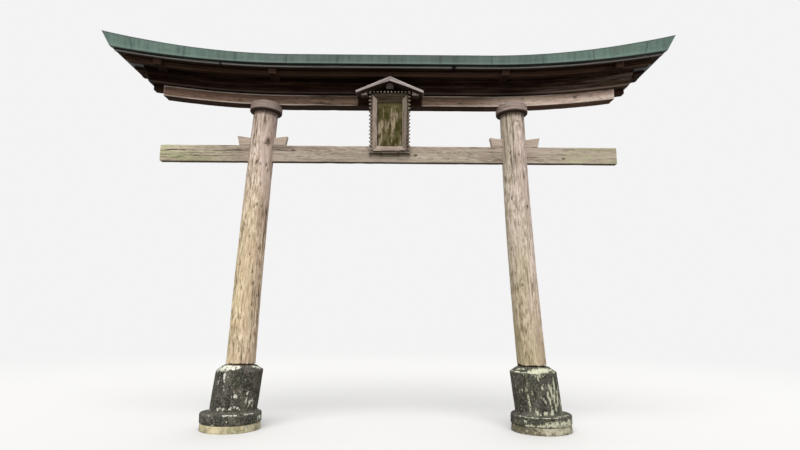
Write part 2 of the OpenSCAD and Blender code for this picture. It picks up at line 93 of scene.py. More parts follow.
def node_box(node: str) -> tuple[Vector, Vector]:
    """Lowest and highest corner of a frame node, as vectors."""
    low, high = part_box(node)
    return Vector(low), Vector(high)


def clamp(value: float, low: float = 0.0, high: float = 1.0) -> float:
    """The value, kept from low to high."""
    return max(low, min(high, value))


def smooth(value: float, low: float, high: float) -> float:
    """Soft step from 0 at low to 1 at high."""
    t = clamp((value - low) / (high - low))
    return t * t * (3.0 - 2.0 * t)


def bump_noise(place: Vector, scale: Triple, seed: float) -> float:
    """Smooth noise from -1 to 1 at a place, with its own scale along each axis."""
    x, y, z = place.x * scale[0] + seed, place.y * scale[1] - seed, place.z * scale[2] + 2.0 * seed
    return noise.noise(Vector((x, y, z)))


def lumps(place: Vector, scale: Triple, seed: float) -> float:
    """The same noise from 0 to 1."""
    return 0.5 + 0.5 * bump_noise(place, scale, seed)


def pits(place: Vector, scale: Triple, seed: float) -> float:
    """The same noise without what is below 0."""
    return max(0.0, bump_noise(place, scale, seed))


def bearing(spot: Vector) -> float:
    """Direction of a point from the Z axis, in degrees to the right of straight ahead."""
    return math.degrees(math.atan2(spot.x, -spot.y))


def turn_between(first: float, second: float) -> float:
    """Angle between two directions, in radians from 0 to pi."""
    return abs((first - second + math.pi) % (2.0 * math.pi) - math.pi)


def layer(bm: BMesh, name: str) -> BMLayerItem:
    """The number that a mesh carries at its points under a name."""
    found = bm.verts.layers.float
    return found.get(name) or found.new(name)


def slice_at(bm: BMesh, axis: int, place: float, snap: float = 1e-6) -> None:
    """Cuts a mesh across an axis at a place; points nearer than snap count as on the cut."""
    normal = Vector([float(k == axis) for k in range(3)])
    bmesh.ops.bisect_plane(bm, geom=bm.verts[:] + bm.edges[:] + bm.faces[:], dist=snap,
                           plane_co=normal * place, plane_no=normal)


def add_object(name: str, data: bpy.types.ID) -> bpy.types.Object:
    """Adds an object to the scene.

    Args:
        name: Its name.
        data: Its mesh, lamp or camera.

    Returns:
        The object.
    """
    item = bpy.data.objects.new(name, data)
    bpy.context.scene.collection.objects.link(item)
    return item


def slanted(x: float, half: float, out: float) -> float:
    """Distance x along a beam of a half length whose end leans out at this height."""
    return x + math.copysign(out * smooth(abs(x), half - END_STRETCH, half), x)


@dataclass(frozen=True)
class Upcurve:
    """The upward curve that all the long beams share.

    Attributes:
        start: Distance from the centre line at which the beams start to rise.
        rise: How much they have risen at the distance reach.
        reach: The distance at which that rise is reached.
    """

    start: float = 0.8
    rise: float = 0.153
    reach: float = 2.4

    def at(self, x: float) -> float:
        """Rise of the beams at a distance x from the centre line."""
        return self.rise * (max(0.0, abs(x) - self.start) / (self.reach - self.start)) ** 2


CURVE = Upcurve()


@dataclass(frozen=True)
class Grain:
    """Which way the wood runs in a piece.

    Attributes:
        along: Direction of the fibres.
        up: Direction that is taken as upright across the fibres.
        seed: Shifts the pattern, so that no two pieces look alike.
        curve: The upward curve that the fibres follow, if any.
    """

    along: Triple = (1.0, 0.0, 0.0)
    up: Triple = (0.0, 0.0, 1.0)
    seed: float = 0.0
    curve: Upcurve | None = None

    def reader(self) -> Callable[[Vector], Vector]:
        """Works out the grain's three directions once.

        Returns:
            A function from a place to its coordinates along, across and up the grain.
        """
        along = Vector(self.along).normalized()
        across = Vector(self.up).cross(along).normalized()
        upright = along.cross(across)

        def read(place: Vector) -> Vector:
            """Coordinates of a place in the wood."""
            flat = Vector((place.x, place.y, place.z - (self.curve.at(place.x) if self.curve else 0.0)))
            return Vector((flat.dot(along), flat.dot(across), flat.dot(upright)))

        return read


class Value:
    """A node's output; sums, differences and products add nodes to its graph."""

    def __init__(self, nodes: "Nodes", socket: Socket) -> None:
        """Wraps an output of a node tree."""
        self.nodes, self.socket = nodes, socket

    def __add__(self, other: "Value | float") -> "Value":
        """The sum."""
        return self.nodes.math("ADD", self, other)

    def __sub__(self, other: "Value | float") -> "Value":
        """The difference."""
        return self.nodes.math("SUBTRACT", self, other)

    def __rsub__(self, other: float) -> "Value":
        """The difference from a number."""
        return self.nodes.math("SUBTRACT", other, self)

    def __mul__(self, other: "Value | float") -> "Value":
        """The product."""
        return self.nodes.math("MULTIPLY", self, other)


class Nodes:
    """Adds nodes to a node tree."""

    def __init__(self, tree: bpy.types.NodeTree) -> None:
        """Starts with an empty tree."""
        self.tree = tree
        tree.nodes.clear()

    def add(self, kind: str, **settings: object) -> bpy.types.Node:
        """Adds a node.

        Args:
            kind: Kind of node.
            settings: Its properties.

        Returns:
            The node.
        """
        node = self.tree.nodes.new(kind)
        for key, value in settings.items():
            setattr(node, key, value)
        return node

    def feed(self, socket: Socket, value: object) -> None:
        """Links a socket to another, or sets its value.

        Args:
            socket: The input.
            value: Another node's output, a number, a vector or a colour.
        """
        source = value.socket if isinstance(value, Value) else value
        if isinstance(source, Socket):
            self.tree.links.new(source, socket)
        elif isinstance(source, tuple) and socket.type == "RGBA":
            socket.default_value = (*source[:3], 1.0)
        else:
            socket.default_value = source

    def make(self, kind: str, output: str | int, inputs: Inputs, **settings: object) -> Value:
        """Adds a node and feeds its inputs.

        Args:
            kind: Kind of node.
            output: The output that is wanted.
            inputs: What goes into each input.
            settings: Its properties.

        Returns:
            That output.
        """
        node = self.add(kind, **settings)
        for key, value in inputs.items():
            self.feed(node.inputs[key], value)
        return Value(self, node.outputs[output])

    def math(self, operation: str, *values: object) -> Value:
        """An arithmetic operation on numbers."""
        return self.make("ShaderNodeMath", 0, dict(enumerate(values)), operation=operation)

    def blend(self, factor: object, first: object, second: object) -> Value:
        """Two shaders blended by a factor."""
        return self.make("ShaderNodeMixShader", "Shader", {0: factor, 1: first, 2: second})

    def seen(self) -> Value:
        """Tells what is seen from what lights the object.

        Returns:
            1 for what the camera, a reflection or a transmission sees, otherwise 0.
        """
        rays = self.add("ShaderNodeLightPath").outputs
        through = self.math("MAXIMUM", rays["Is Glossy Ray"], rays["Is Transmission Ray"])
        return self.math("MAXIMUM", rays["Is Camera Ray"], through)


class Graph(Nodes):
    """Builds the node tree of one material."""

    def __init__(self, name: str, seed: float = 0.0) -> None:
        """Starts a material with one principled shader.

        Args:
            name: Name of the material.
            seed: Shifts all its noises.
        """
        self.material = bpy.data.materials.new(name)
        self.material.use_nodes = True
        super().__init__(self.material.node_tree)
        self.shader = self.add("ShaderNodeBsdfPrincipled")
        self.surface = self.add("ShaderNodeOutputMaterial").inputs["Surface"]
        self.feed(self.surface, self.shader.outputs["BSDF"])
        self.place = Value(self, self.add("ShaderNodeTexCoord").outputs["Object"])
        self.seed = seed

    def attribute(self, name: str, vector: bool = False) -> Value:
        """A number or a vector that the mesh carries at its points."""
        return self.make("ShaderNodeAttribute", "Vector" if vector else "Fac", {}, attribute_name=name,
                         attribute_type="GEOMETRY")

    def stretch(self, vector: Value, scale: Triple, shift: Triple = (0.0, 0.0, 0.0)) -> Value:
        """A vector scaled along each axis and shifted."""
        return self.make("ShaderNodeMapping", "Vector", {"Vector": vector, "Scale": scale, "Location": shift})

    def vector(self, operation: str, output: str, inputs: Inputs) -> Value:
        """An operation on vectors."""
        return self.make("ShaderNodeVectorMath", output, inputs, operation=operation)

    def axis(self, vector: Value, index: int) -> Value:
        """One coordinate of a vector."""
        return self.make("ShaderNodeSeparateXYZ", index, {0: vector})

    def noise(self, vector: Value, scale: float | tuple[float, ...], detail: float = 4.0, rough: float = 0.55,
              shift: float = 0.0, warp: float = 0.0) -> Value:
        """Noise from 0 to 1.

        Args:
            vector: Where it is read.
            scale: Its scale per metre: one for all axes, one along X and one across, or one for each axis.
            detail: Number of finer layers.
            rough: Strength of those layers.
            shift: Moves this noise alone.
            warp: Distortion of the pattern.

        Returns:
            The noise's value.
        """
        parts = (scale,) if isinstance(scale, float) else scale
        move = self.seed + shift
        place = self.stretch(vector, (*parts, *[parts[-1]] * (3 - len(parts))), (move, 2.0 * move, -move))
        return self.make("ShaderNodeTexNoise", "Fac", {"Vector": place, "Scale": 1.0, "Detail": detail,
                                                       "Roughness": rough, "Distortion": warp})

    def rings(self, vector: Value, pith: Triple) -> Value:
        """Growth rings round a pith line along the grain, shifted by pith from the piece's own line."""
        inputs = {"Vector": self.stretch(vector, (0.12, 1.0, 1.0), pith), "Scale": 34.0, "Distortion": 5.0,
                  "Detail": 3.0, "Detail Scale": 0.35}
        return self.make("ShaderNodeTexWave", "Fac", inputs, wave_type="RINGS", rings_direction="X")

    def band(self, value: Value, low: float, high: float) -> Value:
        """Soft step from 0 at low to 1 at high; a low above high steps down instead."""
        inputs = {"Value": value, "From Min": min(low, high), "From Max": max(low, high),
                  "To Min": float(low > high), "To Max": float(low < high)}
        return self.make("ShaderNodeMapRange", "Result", inputs, interpolation_type="SMOOTHSTEP")

    def ramp(self, value: Value, stops: Sequence[tuple[float, Colour]]) -> Value:
        """Colours along a value.

        Args:
            value: A number from 0 to 1.
            stops: Place and colour of each stop, in order.

        Returns:
            The colour.
        """
        node = self.add("ShaderNodeValToRGB")
        self.feed(node.inputs["Fac"], value)
        elements = node.color_ramp.elements
        while len(elements) < len(stops):
            elements.new(0.5)
        for element, (place, colour) in zip(elements, stops):
            element.position = place
            element.color = (*colour, 1.0)
        return Value(self, node.outputs["Color"])

    def mix(self, factor: object, first: object, second: object, blend: str = "MIX") -> Value:
        """Two colours mixed by a factor."""
        inputs = {0: factor, 6: first, 7: second}
        return self.make("ShaderNodeMix", 2, inputs, data_type="RGBA", blend_type=blend)

    def tinted(self, colour: object, tint: object) -> Value:
        """A colour times a tint."""
        return self.mix(1.0, colour, tint, "MULTIPLY")

    def bump(self, height: Value, depth: float, below: Value | None = None) -> Value:
        """Normal of a height from 0 to 1 that is depth metres in all, over a coarser bump below."""
        inputs = {"Strength": 1.0, "Distance": depth, "Height": height}
        return self.make("ShaderNodeBump", "Normal", {**inputs, "Normal": below} if below else inputs)

    def finish(self, colour: object, rough: object, normal: Value | None = None,
               metal: float = 0.0, gloss: float = 0.12) -> bpy.types.Material:
        """Sets the shader.

        Args:
            colour: Base colour.
            rough: Roughness.
            normal: Normal of the surface, where it has relief.
            metal: How metallic it is.
            gloss: Strength of its reflections.

        Returns:
            The finished material.
        """
        inputs = {"Base Color": colour, "Roughness": rough, "Metallic": metal, "Specular IOR Level": gloss}
        for key, value in ({**inputs, "Normal": normal} if normal else inputs).items():
            self.feed(self.shader.inputs[key], value)
        return self.material


@dataclass(frozen=True)
class Finish:
    """A surface finish, made into a material the first time that it is asked for.

    Attributes:
        name: Name of the material.
        slot: The record's material slot.
        seed: Shifts its patterns.
    """

    name: str
    # slot: The record's material slot; not used.
    slot: str
    seed: float = field(default=0.0, kw_only=True)
    made: ClassVar[dict["Finish", bpy.types.Material]] = {}

    def material(self) -> bpy.types.Material:
        """The finish's material."""
        return Finish.made.get(self) or Finish.made.setdefault(self, self.build(Graph(self.name, self.seed)))

    def build(self, graph: Graph) -> bpy.types.Material:
        """Makes the material in a graph that is still empty; every finish has its own way."""
        raise NotImplementedError


@dataclass(frozen=True)
class Knot:
    """A knot in the wood: its place in grain coordinates and its radius."""

    at: Triple
    radius: float


def knots(*rows: tuple[float, float, float, float]) -> tuple[Knot, ...]:
    """Knots from rows of their place and radius."""
    return tuple(Knot(row[:3], row[3]) for row in rows)


@dataclass(frozen=True)
class Wood(Finish):
    """Weathered timber with streaks, growth rings, drying checks, worn edges and algae.

    Attributes:
        dark: Colour of the darkest streaks.
        mid: Main colour.
        pale: Colour of bleached wood and worn edges.
        streak: Width of the streaks, in metres.
        length: Length of the streaks, in metres.
        cracks: Share of the surface with fine drying checks.
        fleck: Strength of the short dark flecks.
        flakes: Strength of the short chopped flakes, dark and pale.
        hues: Two tints that the wood wanders between.
        hue_slope: How much the second tint gains per metre up the grain's upright axis; on a log that axis
            runs across it, so that one side is painted lighter, as if lit.
        drift: Two places along the grain and the tint that the wood takes on from the one to the other.
        algae: Strength of the green growth.
        algae_from: Distance from the centre line at which that growth starts.
        bleach: Heights in the wood between which a pale foot, painted light as if lit from below, fades into
            the wood's own colour above, or None.
        soot: Heights in the wood between which it darkens with painted shade under an overhang, or None.
        wear: How much paler the worn edges are, from 0 to 1.
        worn: Colour of the worn edges, where it isn't the pale one; on the shaded head rail it is the lit
            colour of the scallop crests, painted light.
        under: How much darker the underside is, partly as unweathered wood and partly as painted shade, from
            0 to 1.
        rough: Roughness.
        knots: The knots.
    """

    dark: Colour
    mid: Colour
    pale: Colour
    streak: float = 0.045
    length: float = 0.9
    cracks: float = 0.5
    fleck: float = 0.25
    flakes: float = 0.0
    hues: tuple[Colour, Colour] | None = None
    hue_slope: float = 0.0
    drift: tuple[float, float, Colour] | None = None
    algae: float = 0.0
    algae_from: float = 0.0
    algae_tone: Colour = (0.30, 0.31, 0.12)
    bleach: tuple[float, float] | None = None
    soot: tuple[float, float] | None = None
    wear: float = 0.45
    worn: Colour | None = None
    under: float = 0.75
    rough: float = 0.82
    knots: tuple[Knot, ...] = ()

    def bend_round_knots(self, graph: Graph, grain: Value) -> tuple[Value, Value | None]:
        """Makes the grain flow round the knots.

        Args:
            graph: The material's graph.
            grain: Coordinates in the wood.

        Returns:
            The bent coordinates, and how near each point is to a knot's heart.
        """
        heart: Value | None = None
        for knot in self.knots:
            away = graph.stretch(grain, (1.0, 1.0, 1.0), tuple(-part for part in knot.at))
            far = graph.vector("LENGTH", "Value", {0: graph.stretch(away, (0.55, 1.0, 1.0))})
            ragged = far + graph.noise(away, 70.0, 2.0) * (0.5 * knot.radius)
            near = graph.band(ragged, 1.7 * knot.radius, 0.9 * knot.radius)
            pull = graph.band(far, 4.5 * knot.radius, 0.0)
            off = graph.stretch(away, (0.0, -0.75, -0.75))
            push = graph.vector("SCALE", "Vector", {0: off, "Scale": pull})
            grain = graph.vector("ADD", "Vector", {0: grain, 1: push})
            heart = near if heart is None else graph.math("MAXIMUM", heart, near)
        return grain, heart

    def build(self, graph: Graph) -> bpy.types.Material:
        """Makes the material.

        Args:
            graph: Its graph, still empty.

        Returns:
            The material.
        """
        plain = graph.attribute(GRAIN, vector=True)
        grain, heart = self.bend_round_knots(graph, plain)
        streaks = graph.noise(grain, (1.0 / self.length, 1.0 / self.streak), 6.0, 0.62, warp=0.25)
        fibres = graph.noise(grain, (7.0, 230.0), 3.0, 0.6, 3.0)
        patches = graph.noise(grain, (2.2, 6.0), 4.0, 0.6, 7.0)
        rings = graph.rings(grain, (0.0, 0.13 + 0.01 * self.seed, 0.21))
        tone = streaks * 0.50 + rings * 0.08 + fibres * 0.24 + patches * 0.18
        colour = graph.ramp(tone, ((0.36, self.dark), (0.49, self.mid), (0.64, self.pale)))
        colour = graph.mix(graph.band(patches, 0.56, 0.74) * 0.35, colour, self.dark)
        for scale, low in ((26.0, 0.60), (70.0, 0.62)):
            specks = graph.noise(grain, (scale, 8.0 * scale), 2.0, 0.5, 0.6 * scale)
            colour = graph.mix(graph.band(specks, low, low + 0.09) * self.fleck, colour, self.dark)
        chopped: Value | None = None
        if self.flakes:
            chopped = graph.noise(grain, (15.0, 62.0), 4.0, 0.62, 13.0)
            zone = graph.band(graph.noise(grain, (1.6, 9.0), 2.0, 0.5, 15.0), 0.36, 0.60)
            zone = (zone * 0.7 + 0.3) * self.flakes
            colour = graph.mix(graph.band(chopped, 0.54, 0.62) * zone, colour, self.dark)
            colour = graph.mix(graph.band(chopped, 0.47, 0.39) * zone, colour, self.pale)
        if self.hues:
            wander = graph.noise(plain, (1.4, 6.0), 3.0, 0.5, 17.0) + graph.axis(plain, 2) * self.hue_slope
            colour = graph.tinted(colour, graph.mix(graph.band(wander, 0.25, 0.75), *self.hues))
        kept: Value | None = None
        if self.drift:
            first, last, tint = self.drift
            share = graph.band(graph.axis(plain, 0) + patches * 0.4, first, last)
            kept = 1.0 - share * 0.92
            colour = graph.mix(share, colour, graph.tinted(colour, tint))
        # Painted light: a pale strip along the foot of the face, as if lit from below.
        if self.bleach:
            lit_foot = graph.band(graph.axis(plain, 2) + streaks * 0.03, *self.bleach[::-1]) * 0.8
            colour = graph.mix(lit_foot if kept is None else lit_foot * kept, colour, self.pale)
        # Painted shade under the overhang above.
        if self.soot:
            shade = graph.band(graph.axis(plain, 2) + streaks * 0.02, *self.soot) * 0.85
            colour = graph.mix(shade, colour, graph.tinted(colour, (0.42, 0.36, 0.33)))
        worn = graph.attribute(EDGE) * graph.band(patches, 0.30, 0.62)
        colour = graph.mix(worn * self.wear, colour, self.worn or self.pale)
        if self.algae:
            reach = graph.math("ABSOLUTE", graph.axis(graph.place, 0))
            cover = graph.band(graph.noise(grain, (3.0, 14.0), 5.0, 0.65, 11.0), 0.40, 0.66)
            green = graph.band(reach, self.algae_from, self.algae_from + 0.55) * cover
            colour = graph.mix(green * self.algae, colour, self.algae_tone)
        line = graph.math("ABSOLUTE", graph.noise(grain, (1.1, 34.0), 3.0, 0.5, 5.0) - 0.5)
        dry = graph.noise(grain, (0.8, 8.0), 2.0, 0.5, 9.0)
        spread = 0.24 * self.cracks
        split = graph.band(line, 0.016, 0.003) * graph.band(dry, 0.62 - spread, 0.74 - spread)
        # The check attribute darkens real checks and joints, and also carries painted shade in crevices,
        # recesses and under parts.
        split = graph.math("MAXIMUM", split, graph.attribute(CHECK_AND_SHADE))
        if heart is not None:
            split = graph.math("MAXIMUM", split, heart * 0.85)
        deep = tuple(0.28 * part for part in self.dark)
        # Painted shade, with some real darkness of unweathered wood: faces marked by the under attribute take
        # a dark tint.
        if self.under:
            shade = graph.tinted(colour, (0.12, 0.082, 0.058))
            colour = graph.mix(graph.attribute(DARK_UNDER_AND_SHADE) * self.under, colour, shade)
        colour = graph.mix(split * 0.93, colour, deep)
        relief = streaks - split
        if chopped is not None:
            relief = relief - chopped * 0.8
        normal = graph.bump(fibres, 0.0012, graph.bump(relief, 0.004))
        return graph.finish(colour, self.rough, normal, gloss=0.05)


@dataclass(frozen=True)
class Stone(Finish):
    """Near-black stone with pale lichen where the mesh says so.

    Attributes:
        black: Colour of the wet, sooty stone.
        middle: Main colour.
        grey: Colour of the drier stone.
        young: Colour of thin lichen.
        old: Colour of thick lichen.
    """

    black: Colour = (0.022, 0.023, 0.017)
    middle: Colour = (0.068, 0.062, 0.051)
    grey: Colour = (0.158, 0.142, 0.116)
    young: Colour = (0.270, 0.262, 0.200)
    old: Colour = (0.700, 0.690, 0.580)

    def build(self, graph: Graph) -> bpy.types.Material:
        """Makes the material.

        Args:
            graph: Its graph, still empty.

        Returns:
            The material.
        """
        place = graph.place
        mottle = graph.noise(place, (15.0, 15.0, 10.0), 7.0, 0.70)
        grit = graph.noise(place, 260.0, 3.0, 0.6, 2.0)
        grain = graph.noise(place, (95.0, 95.0, 70.0), 3.0, 0.6, 3.0)
        colour = graph.ramp(mottle, ((0.34, self.black), (0.50, self.middle), (0.66, self.grey)))
        damp = graph.band(graph.noise(place, (6.0, 6.0, 3.5), 3.0, 0.5, 4.0), 0.50, 0.66)
        colour = graph.mix(damp * 0.6, colour, (0.034, 0.044, 0.026))
        colour = graph.mix(graph.band(grain, 0.53, 0.63) * 0.75, colour, self.grey)
        colour = graph.mix(graph.band(grain, 0.47, 0.37) * 0.80, colour, self.black)
        ragged = graph.noise(place, (46.0, 46.0, 24.0), 6.0, 0.74, 6.0)
        fine = graph.noise(place, (170.0, 170.0, 105.0), 3.0, 0.6, 7.0)
        edge = ragged * 3.2 + fine * 2.0
        grown = graph.attribute(LICHEN) + edge - 2.6
        thin = graph.band(grown, 0.44, 0.54)
        thick = graph.band(grown, 0.58, 0.76)
        faded = tuple(0.62 * part for part in self.old)
        pale = graph.ramp(fine, ((0.35, faded), (0.58, self.old)))
        tint = graph.mix(thick, self.young, pale)
        colour = graph.mix(thin * 0.92, colour, tint)
        lift = mottle * 0.8 + thin * 0.35 + grain * 0.3
        normal = graph.bump(grit, 0.0014, graph.bump(lift, 0.006))
        return graph.finish(colour, 0.93, normal, gloss=0.08)


@dataclass(frozen=True)
class Concrete(Finish):
    """Pale, yellowish concrete with moss low down and fine sand grains."""

    tone: Colour = (0.560, 0.480, 0.300)
    moss: Colour = (0.150, 0.150, 0.062)
    growth: Colour = (0.560, 0.560, 0.400)

    def build(self, graph: Graph) -> bpy.types.Material:
        """Makes the material.

        Args:
            graph: Its graph, still empty.

        Returns:
            The material.
        """
        place = graph.place
        mottle = graph.noise(place, 14.0, 6.0, 0.66)
        sand = graph.noise(place, 300.0, 2.0, 0.6, 1.0)
        pale = tuple(min(1.0, 1.22 * part) for part in self.tone)
        dark = tuple(0.48 * part for part in self.tone)
        colour = graph.ramp(mottle, ((0.34, dark), (0.52, self.tone), (0.70, pale)))
        growth = graph.band(graph.noise(place, (11.0, 11.0, 20.0), 6.0, 0.74, 3.0), 0.49, 0.60)
        colour = graph.mix(growth * 0.6, colour, self.moss)
        ragged = graph.noise(place, 52.0, 6.0, 0.74, 5.0) + graph.attribute(LICHEN) * 0.12
        colour = graph.mix(graph.band(ragged, 0.55, 0.62) * 0.85, colour, self.growth)
        colour = graph.mix(sand * 0.22, colour, dark)
        normal = graph.bump(sand, 0.0012, graph.bump(mottle, 0.005))
        return graph.finish(colour, 0.95, normal)


@dataclass(frozen=True)
class Copper(Finish):
    """Copper sheet with a dull grey-green patina, rain streaks and darker joints."""

    tone: Colour = (0.078, 0.126, 0.101)
    pale: Colour = (0.128, 0.188, 0.156)
    dark: Colour = (0.034, 0.054, 0.044)
    brown: Colour = (0.082, 0.086, 0.066)
    # Near-black colour of the undersides: painted shade, with dark tarnish.
    bare: Colour = (0.004, 0.005, 0.004)

    def build(self, graph: Graph) -> bpy.types.Material:
        """Makes the material.

        Args:
            graph: Its graph, still empty.

        Returns:
            The material.
        """
        place = graph.place
        cloud = graph.noise(place, (3.0, 3.0, 5.0), 6.0, 0.62, 1.0)
        rain = graph.noise(place, (38.0, 14.0, 2.2), 5.0, 0.62, 4.0)
        fleck = graph.noise(place, 170.0, 3.0, 0.6, 7.0)
        tone = cloud * 0.45 + rain * 0.40 + fleck * 0.15
        colour = graph.ramp(tone, ((0.34, self.dark), (0.50, self.tone), (0.66, self.pale)))
        tarnish = graph.band(graph.noise(place, (6.0, 6.0, 9.0), 5.0, 0.68, 9.0), 0.56, 0.70)
        colour = graph.mix(tarnish * 0.45, colour, self.brown)
        # Darkens the joints, and also a painted shade line that the edge marks along its top.
        colour = graph.mix(graph.attribute(SEAM_AND_SHADE) * 0.55, colour, self.dark)
        # Painted shade: the middle of the roof is darker than its ends.
        reach = graph.math("ABSOLUTE", graph.axis(place, 0)) + cloud * 0.5
        shaded_middle = graph.tinted(colour, (0.76, 0.70, 0.72))
        colour = graph.mix(graph.band(reach, 1.9, 0.9), colour, shaded_middle)
        colour = graph.mix(graph.attribute(EDGE) * 0.55, colour, self.pale)
        # Painted shade with dark tarnish: the marked undersides turn near-black.
        colour = graph.mix(graph.attribute(DARK_UNDER_AND_SHADE), colour, self.bare)
        normal = graph.bump(fleck, 0.0006, graph.bump(cloud, 0.002))
        return graph.finish(colour, cloud * 0.25 + 0.42, normal, metal=0.08, gloss=0.25)


@dataclass(frozen=True)
class MossyBoard(Finish):
    """Weathered board overgrown with olive moss, with bare vertical streaks of tan wood."""

    moss: Colour = (0.054, 0.048, 0.012)
    olive: Colour = (0.180, 0.150, 0.078)
    bare: Colour = (0.500, 0.405, 0.285)

    def build(self, graph: Graph) -> bpy.types.Material:
        """Makes the material.

        Args:
            graph: Its graph, still empty.

        Returns:
            The material.
        """
        grain = graph.attribute(GRAIN, vector=True)
        streaks = graph.noise(grain, (6.0, 60.0), 6.0, 0.66, 2.0, 0.3)
        cloud = graph.noise(grain, (11.0, 24.0), 5.0, 0.66, 5.0)
        fibres = graph.noise(grain, (14.0, 320.0), 3.0, 0.6, 8.0)
        flecks = graph.noise(grain, (34.0, 120.0), 3.0, 0.6, 11.0)
        colour = graph.ramp(cloud, ((0.40, self.moss), (0.66, self.olive)))
        scraped = streaks * 2.6 + cloud * 1.4
        bare = graph.band(graph.attribute(LICHEN) * 0.8 + scraped, 2.36, 2.60)
        tan = graph.ramp(fibres * 0.5 + streaks * 0.5, ((0.38, (0.165, 0.115, 0.062)), (0.60, self.bare)))
        tan = graph.mix(graph.band(flecks, 0.52, 0.62) * 0.75, tan, (0.085, 0.055, 0.028))
        colour = graph.mix(bare * 0.92, colour, tan)
        # Painted shadow along the panel's left edge, marked by the check attribute.
        colour = graph.mix(graph.attribute(CHECK_AND_SHADE) * 0.8, colour, (0.020, 0.014, 0.008))
        normal = graph.bump(fibres, 0.001, graph.bump(streaks - bare * 0.5, 0.003))
        return graph.finish(colour, 0.9, normal, gloss=0.05)


@dataclass(frozen=True)
class Iron(Finish):
    """Dull iron with rust."""

    def build(self, graph: Graph) -> bpy.types.Material:
        """Makes the material.

        Args:
            graph: Its graph, still empty.

        Returns:
            The material.
        """
        mottle = graph.noise(graph.place, 60.0, 5.0, 0.65, 1.0)
        colour = graph.ramp(mottle, ((0.40, (0.030, 0.024, 0.020)), (0.62, (0.115, 0.052, 0.026))))
        return graph.finish(colour, 0.75, graph.bump(mottle, 0.001), metal=0.4)


def round_edges(bm: BMesh, width: float) -> None:
    """Rounds the sharp edges of a mesh and marks the new faces as worn.

    Args:
        bm: The mesh.
        width: Width of the rounding.
    """
    worn = bm.faces.layers.int.get(WORN) or bm.faces.layers.int.new(WORN)
    sharp = [edge for edge in bm.edges if edge.is_manifold and edge.calc_face_angle(0.0) > SHARP_TURN]
    made = bmesh.ops.bevel(bm, geom=sharp, offset=width, offset_type="OFFSET", segments=2, profile=0.5,
                           affect="EDGES", material=-1, clamp_overlap=True)
    for face in made["faces"]:
        face[worn] = 1


def block(low: Vector, high: Vector, pitch: Triple, edge: float = 0.003) -> BMesh:
    """Makes a box with rounded edges, cut into a grid.

    Args:
        low: Lowest corner.
        high: Highest corner.
        pitch: Size of the grid's cells along X, Y and Z.
        edge: Width of the rounding along every edge.

    Returns:
        The box.
    """
    bm = bmesh.new()
    size = high - low
    place = Matrix.Translation((low + high) / 2) @ Matrix.Diagonal((*size, 1.0))
    bmesh.ops.create_cube(bm, size=1.0, matrix=place)
    round_edges(bm, edge)
    for axis in range(3):
        cuts = int(size[axis] / pitch[axis])
        lines = [e for e in bm.edges if abs((e.verts[0].co - e.verts[1].co)[axis]) > 0.5 * size[axis]]
        if cuts:
            bmesh.ops.subdivide_edges(bm, edges=lines, cuts=cuts, use_grid_fill=True)
    return bm


def solid_copy(node: str, edge: float, pitch: float, long_pitch: float | None = None) -> BMesh:
    """Copies a frame node's solid, with its edges rounded and its faces cut into a grid.

    Args:
        node: Name of the node.
        edge: Width of the rounding along its sharp edges.
        pitch: Distance between the cuts.
        long_pitch: Distance between the cuts along X, where it differs.

    Returns:
        The copy.
    """
    bm = bmesh.new()
    bm.from_mesh(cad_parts[node].data)
    bmesh.ops.remove_doubles(bm, verts=bm.verts[:], dist=1e-5)
    bmesh.ops.dissolve_limit(bm, angle_limit=math.radians(0.5), verts=bm.verts[:], edges=bm.edges[:],
                             use_dissolve_boundaries=False, delimit=set())
    round_edges(bm, edge)
    for axis, gap in enumerate((long_pitch or pitch, pitch, pitch)):
        places = [vert.co[axis] for vert in bm.verts]
        low, high = min(places), max(places)
        count = int((high - low) / gap)
        for k in range(1, count + 1):
            slice_at(bm, axis, low + (high - low) * k / (count + 1))
    return bm


def spun(profile: Sequence[tuple[float, float]], pitch: float, steps: int) -> BMesh:
    """Spins a profile round the Z axis into a closed shape.

    Args:
        profile: Radius and height of each corner, from the foot's centre to the head's centre.
        pitch: Distance between points along the profile.
        steps: Points round the shape.

    Returns:
        The shape.
    """
    bm = bmesh.new()
    corners = [bm.verts.new((radius, 0.0, height)) for radius, height in profile]
    sides = [bm.edges.new(pair) for pair in zip(corners, corners[1:])]
    for side in sides:
        cuts = int(side.calc_length() / pitch)
        if cuts:
            bmesh.ops.subdivide_edges(bm, edges=[side], cuts=cuts)
    bmesh.ops.spin(bm, geom=bm.verts[:] + bm.edges[:], cent=(0.0, 0.0, 0.0), axis=(0.0, 0.0, 1.0),
                   angle=2.0 * math.pi, steps=steps, use_merge=True, use_duplicate=False)
    bmesh.ops.remove_doubles(bm, verts=bm.verts[:], dist=1e-6)
    bmesh.ops.recalc_face_normals(bm, faces=bm.faces[:])
    return bm


def mark_edges(bm: BMesh) -> None:
    """Writes at each point whether it lies on a rounded edge.

    Args:
        bm: The mesh, with its worn faces marked.
    """
    worn = bm.faces.layers.int.get(WORN)
    edge = layer(bm, EDGE)
    for vert in bm.verts:
        vert[edge] = float(any(face[worn] for face in vert.link_faces))


